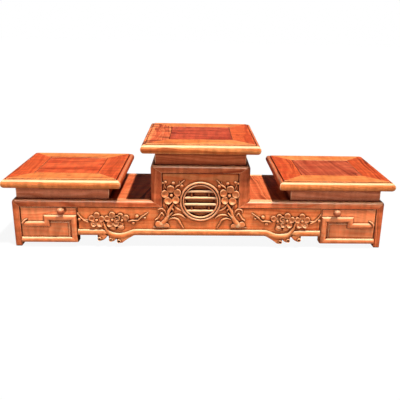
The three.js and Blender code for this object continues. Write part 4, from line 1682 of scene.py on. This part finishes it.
    def build(self, bench: Bench) -> None:
        """Replaces the front board with the cut board, its lattice, its bead and its relief.

        Args:
            bench: Where pieces are dressed.
        """
        ground = self.ground()
        merge_into(ground, self.uprights())
        for mesh, part, wood in (
            (self.board(), "cut", CARVED),
            (ground, "lattice_ground", LATTICE_GROUND),
            (self.lattice(), "lattice", LATTICE_BAR),
            (self.rings(), "rings", RING_WOOD),
            (self.bead(), "bead", BEAD_WOOD),
            (self.carving(), "relief", RELIEF),
        ):
            onto_face(mesh)
            bench.add(mesh, f"front_board_{part}", "stand", wood, Grain.ALONG_X, "front_board")


@dataclass
class Drawer:
    """One end drawer: a front with a raised fret and a round knob, and its box.

    Its places are those of the right drawer. The left one is the same, mirrored.
    """

    side: Side
    seam: float = 258.1
    post: float = 375.15
    low: float = 9.5
    high: float = 88.8
    back: float = -86.4
    half_bar: float = 6.1
    bar_height: float = 5.2
    fillet_inset: float = 4.6
    shadow_line: float = 1.8
    shadow_depth: float = 2.4
    half_fillet: float = 1.1
    fillet_height: float = 1.3
    block_ease: float = 0.3
    face_ease: float = 0.5
    box_ease: float = 0.4
    knob_at: Point = (288.7, 82.0)
    knob_ball: float = 7.9
    knob_stem: float = 4.2
    knob_collar: float = 0.6
    knob_middle: float = 9.6
    knob_flatness: float = 0.92
    knob_steps: int = 14
    knob_sides: int = 36
    fret: tuple[Point, ...] = ((321.0, 51.4), (321.0, 65.5), (265.0, 65.5), (265.0, 16.2), (375.0, 16.2))

    @property
    def body(self) -> str:
        """The CAD body that slides."""
        return f"{self.side.word}_drawer"

    def to_side(self, mesh: bmesh.types.BMesh) -> bmesh.types.BMesh:
        """Mirrors a right-hand mesh when this is the left drawer."""
        bmesh.ops.scale(mesh, vec=(self.side.value, 1, 1), verts=mesh.verts)
        return mesh

    def fret_mesh(self) -> bmesh.types.BMesh:
        """Bends the fret bar: pointed bud end, short bar, step, top bar, upright and bottom bar.

        Returns:
            The closed mesh in relief space.
        """
        bud = smooth_curve([
            (374.2, 54.4, 0.7, 1.0), (371.8, 52.6, 2.6, 2.2), (367.5, 51.6, 5.2, 3.2),
            (361.0, 51.4, self.half_bar, self.bar_height),
        ], 4)
        bars = [(x, z, self.half_bar, self.bar_height) for x, z in self.fret]
        return raised_line([*bud, *bars])

    def fillet_mesh(self) -> bmesh.types.BMesh:
        """Runs a thin line beside the top bar and the upright, inside the fret.

        Returns:
            The closed mesh in relief space.
        """
        (step, _), (_, top), (upright, _), (_, bottom) = self.fret[:4]
        inset = self.half_bar + self.fillet_inset
        corners = (
            (step - self.half_bar, top - inset),
            (upright + inset, top - inset),
            (upright + inset, bottom + self.half_bar),
        )
        return raised_line([(x, z, self.half_fillet, self.fillet_height) for x, z in corners])

    def beak_mesh(self) -> bmesh.types.BMesh:
        """Curls the small hook over the bud end.

        Returns:
            The closed mesh in relief space.
        """
        hook = smooth_curve([
            (360.6, 62.6, 0.7, 1.6), (364.0, 61.0, 1.7, 3.6), (368.2, 57.4, 2.4, 4.4),
            (371.0, 52.6, 2.2, 4.4), (371.6, 48.8, 1.0, 2.6),
        ], 5)
        return raised_line(hook)

    def knob_mesh(self) -> bmesh.types.BMesh:
        """Turns the knob: stem, small collar and a slightly flattened ball.

        Returns:
            The closed mesh in relief space.
        """
        ball, stem = self.knob_ball, self.knob_stem
        collar = stem + self.knob_collar
        profile = [(0.0, 0.0), (collar, 0.0), (collar, 1.0), (stem, 1.6), (stem, 2.6)]
        start = -math.acos((stem + 0.2) / ball)
        for step in range(self.knob_steps + 1):
            angle = start + (math.pi / 2 - start) * step / self.knob_steps
            height = self.knob_middle + self.knob_flatness * ball * math.sin(angle)
            profile.append((ball * math.cos(angle), height))
        mesh = turned(profile, self.knob_sides)
        bmesh.ops.translate(mesh, vec=(*self.knob_at, 0), verts=mesh.verts)
        return mesh

    def front_mesh(self) -> bmesh.types.BMesh:
        """Makes the front: a block with a shadow line round its face, and the fret on it.

        Returns:
            The closed meshes in relief space.
        """
        line, sunk = self.shadow_line, -self.shadow_depth
        behind = (self.seam, self.low, FRONT_FACE - self.back)
        mesh = box_mesh(behind, (self.post, self.high, sunk), self.block_ease)
        low = (self.seam + line, self.low + line, 2 * sunk)
        high = (self.post - line, self.high - line, 0.0)
        face = box_mesh(low, high, self.face_ease)
        for part in (face, self.fret_mesh(), self.fillet_mesh(), self.beak_mesh()):
            merge_into(mesh, part)
        return mesh

    def build(self, bench: Bench) -> None:
        """Replaces the drawer's front and knob and dresses its box.

        Args:
            bench: Where pieces are dressed.
        """
        for mesh, part, node, wood in (
            (self.front_mesh(), "front_carved", "front", DRAWER_WOOD),
            (self.knob_mesh(), "knob_turned", "knob", KNOB_WOOD),
        ):
            onto_face(mesh)
            name, replaced = f"{self.body}_{part}", f"{self.body}_{node}"
            bench.add(self.to_side(mesh), name, self.body, wood, Grain.ALONG_X, replaced)
        for part, grain in (
            ("outer_side", Grain.ALONG_Y),
            ("inner_side", Grain.ALONG_Y),
            ("back", Grain.ALONG_X),
            ("bottom", Grain.ALONG_X),
            ("divider", Grain.ALONG_Y),
            ("runner", Grain.ALONG_Y),
        ):
            bench.keep(f"{self.body}_{part}", BOX_WOOD, grain, self.box_ease)


# Room


@dataclass(frozen=True)
class Lamp:
    """One distant lamp, with the way its light travels and how wide it looks, in degrees."""

    name: str
    direction: Triple
    strength: float
    width: float
    color: Triple = (1.0, 1.0, 1.0)
    lights_gloss: bool = False
    lights_wood: bool = True

    def hang(self) -> None:
        """Puts the lamp into the scene."""
        light = bpy.data.lights.new(self.name, "SUN")
        light.energy = self.strength
        light.angle = math.radians(self.width)
        light.color = self.color
        lamp = bpy.data.objects.new(self.name, light)
        lamp.rotation_euler = Vector(self.direction).to_track_quat("-Z", "Y").to_euler()
        lamp.visible_glossy = self.lights_gloss
        lamp.visible_diffuse = self.lights_wood
        bpy.context.scene.collection.objects.link(lamp)


@dataclass
class Studio:
    """A plain white room: a high key lamp from the right, soft fills, a broad lamp for the gloss."""

    lens: float = 47.32
    at: Triple = (-0.0068, -1.1487, 0.4574)
    pitch: float = math.radians(17.98)
    yaw: float = math.radians(2.21)
    roll: float = math.radians(1.20)
    shift: Point = (-0.0412, -0.0135)
    lamps: tuple[Lamp, ...] = (
        Lamp("key", (-0.307, 0.24, -1.0), 4.5, 2.0),
        Lamp("front_fill", (0.25, 1.0, -0.02), 2.8, 14.0, (1.0, 1.0, 1.12)),
        Lamp("back_fill", (0.2, -1.0, 0.0), 1.0, 14.0, (1.0, 1.0, 1.12)),
        Lamp("sheen", (0.0, 0.42, -1.0), 5.0, 48.0, (1.0, 0.88, 0.74), lights_gloss=True, lights_wood=False),
    )
    sky_strength: float = 0.02
    gloss_share: float = 0.15
    floor_size: float = 12.0
    floor_seen: Color = (0.84, 0.84, 0.84, 1.0)
    floor_bounced: Color = (0.03, 0.03, 0.03, 1.0)
    floor_roughness: float = 0.9
    floor_glow: float = 0.92

    def floor(self) -> None:
        """Lays a pale floor that keeps a light shadow under the stand."""
        mesh = bmesh.new()
        bmesh.ops.create_grid(mesh, x_segments=2, y_segments=2, size=self.floor_size)
        data = bpy.data.meshes.new("floor")
        mesh.to_mesh(data)
        mesh.free()
        floor = bpy.data.objects.new("floor", data)
        bpy.context.scene.collection.objects.link(floor)
        material = bpy.data.materials.new("pale_floor")
        material.use_nodes = True
        graph = Graph(material.node_tree)
        shader = material.node_tree.nodes["Principled BSDF"]
        seen = graph.add("ShaderNodeLightPath").outputs["Is Camera Ray"]
        graph.feed(shader.inputs["Base Color"], graph.blend(seen, self.floor_bounced, self.floor_seen))
        shader.inputs["Roughness"].default_value = self.floor_roughness
        shader.inputs["Specular IOR Level"].default_value = 0.0
        glow = graph.add("ShaderNodeEmission")
        mixed = graph.add("ShaderNodeMixShader")
        graph.feed(mixed.inputs[0], graph.math("MULTIPLY", seen, self.floor_glow))
        graph.feed(mixed.inputs[1], shader.outputs[0])
        graph.feed(mixed.inputs[2], glow.outputs[0])
        graph.feed(material.node_tree.nodes["Material Output"].inputs["Surface"], mixed.outputs[0])
        data.materials.append(material)

    def sky(self) -> None:
        """Sets the sky, which the camera sees as white and the stand hardly sees at all."""
        world = bpy.data.worlds.new("white_room")
        bpy.context.scene.world = world
        world.use_nodes = True
        graph = Graph(world.node_tree)
        sky = world.node_tree.nodes["Background"]
        sky.inputs["Color"].default_value = (1.0, 1.0, 1.0, 1.0)
        path = graph.add("ShaderNodeLightPath")
        mirrored = graph.math("MULTIPLY", path.outputs["Is Glossy Ray"], self.gloss_share)
        seen = graph.math("MAXIMUM", path.outputs["Is Camera Ray"], path.outputs["Is Transmission Ray"])
        seen = graph.math("MAXIMUM", seen, mirrored)
        level = graph.math("ADD", graph.math("MULTIPLY", seen, 1.0 - self.sky_strength), self.sky_strength)
        graph.feed(sky.inputs["Strength"], level)

    def camera(self) -> None:
        """Sets the camera where the photograph was taken from."""
        lens = bpy.data.cameras.new("camera")
        lens.sensor_width = 36.0
        lens.sensor_fit = "HORIZONTAL"
        lens.lens = self.lens
        lens.shift_x, lens.shift_y = self.shift
        lens.clip_end = 50.0
        forward = Vector((
            math.sin(self.yaw) * math.cos(self.pitch),
            math.cos(self.yaw) * math.cos(self.pitch),
            -math.sin(self.pitch),
        ))
        level = Vector((math.cos(self.yaw), -math.sin(self.yaw), 0.0))
        upright = level.cross(forward)
        right = math.cos(self.roll) * level + math.sin(self.roll) * upright
        up = math.cos(self.roll) * upright - math.sin(self.roll) * level
        turn = Matrix((right, up, -forward)).transposed().to_4x4()
        camera = bpy.data.objects.new("camera", lens)
        camera.matrix_world = Matrix.Translation(self.at) @ turn
        bpy.context.scene.collection.objects.link(camera)
        bpy.context.scene.camera = camera

    def build(self) -> None:
        """Sets out the whole room."""
        self.floor()
        for lamp in self.lamps:
            lamp.hang()
        self.sky()
        self.camera()
        bpy.context.scene.view_settings.view_transform = "Standard"


def main() -> None:
    """Builds the stand's finished pieces in order."""
    logging.basicConfig(level=logging.INFO, format="%(name)s %(message)s")
    bench = Bench(frame["nodes"])
    assemblies = (
        BaseFrame(),
        RaisedBlock(),
        CarvedFront(),
        *(Drawer(side) for side in Side),
        *(Neck(side.word) for side in Side),
        Neck("center", CENTER_NECK),
        Platform("left", Grain.ALONG_X),
        Platform("right", Grain.LEANING_LEFT, BROWN_PANEL),
        Platform("center", Grain.ALONG_X, SHOWY_PANEL, CURLY_STILE),
    )
    for assembly in assemblies:
        assembly.build(bench)
    Studio().build()


if __name__ == "__main__":
    main()
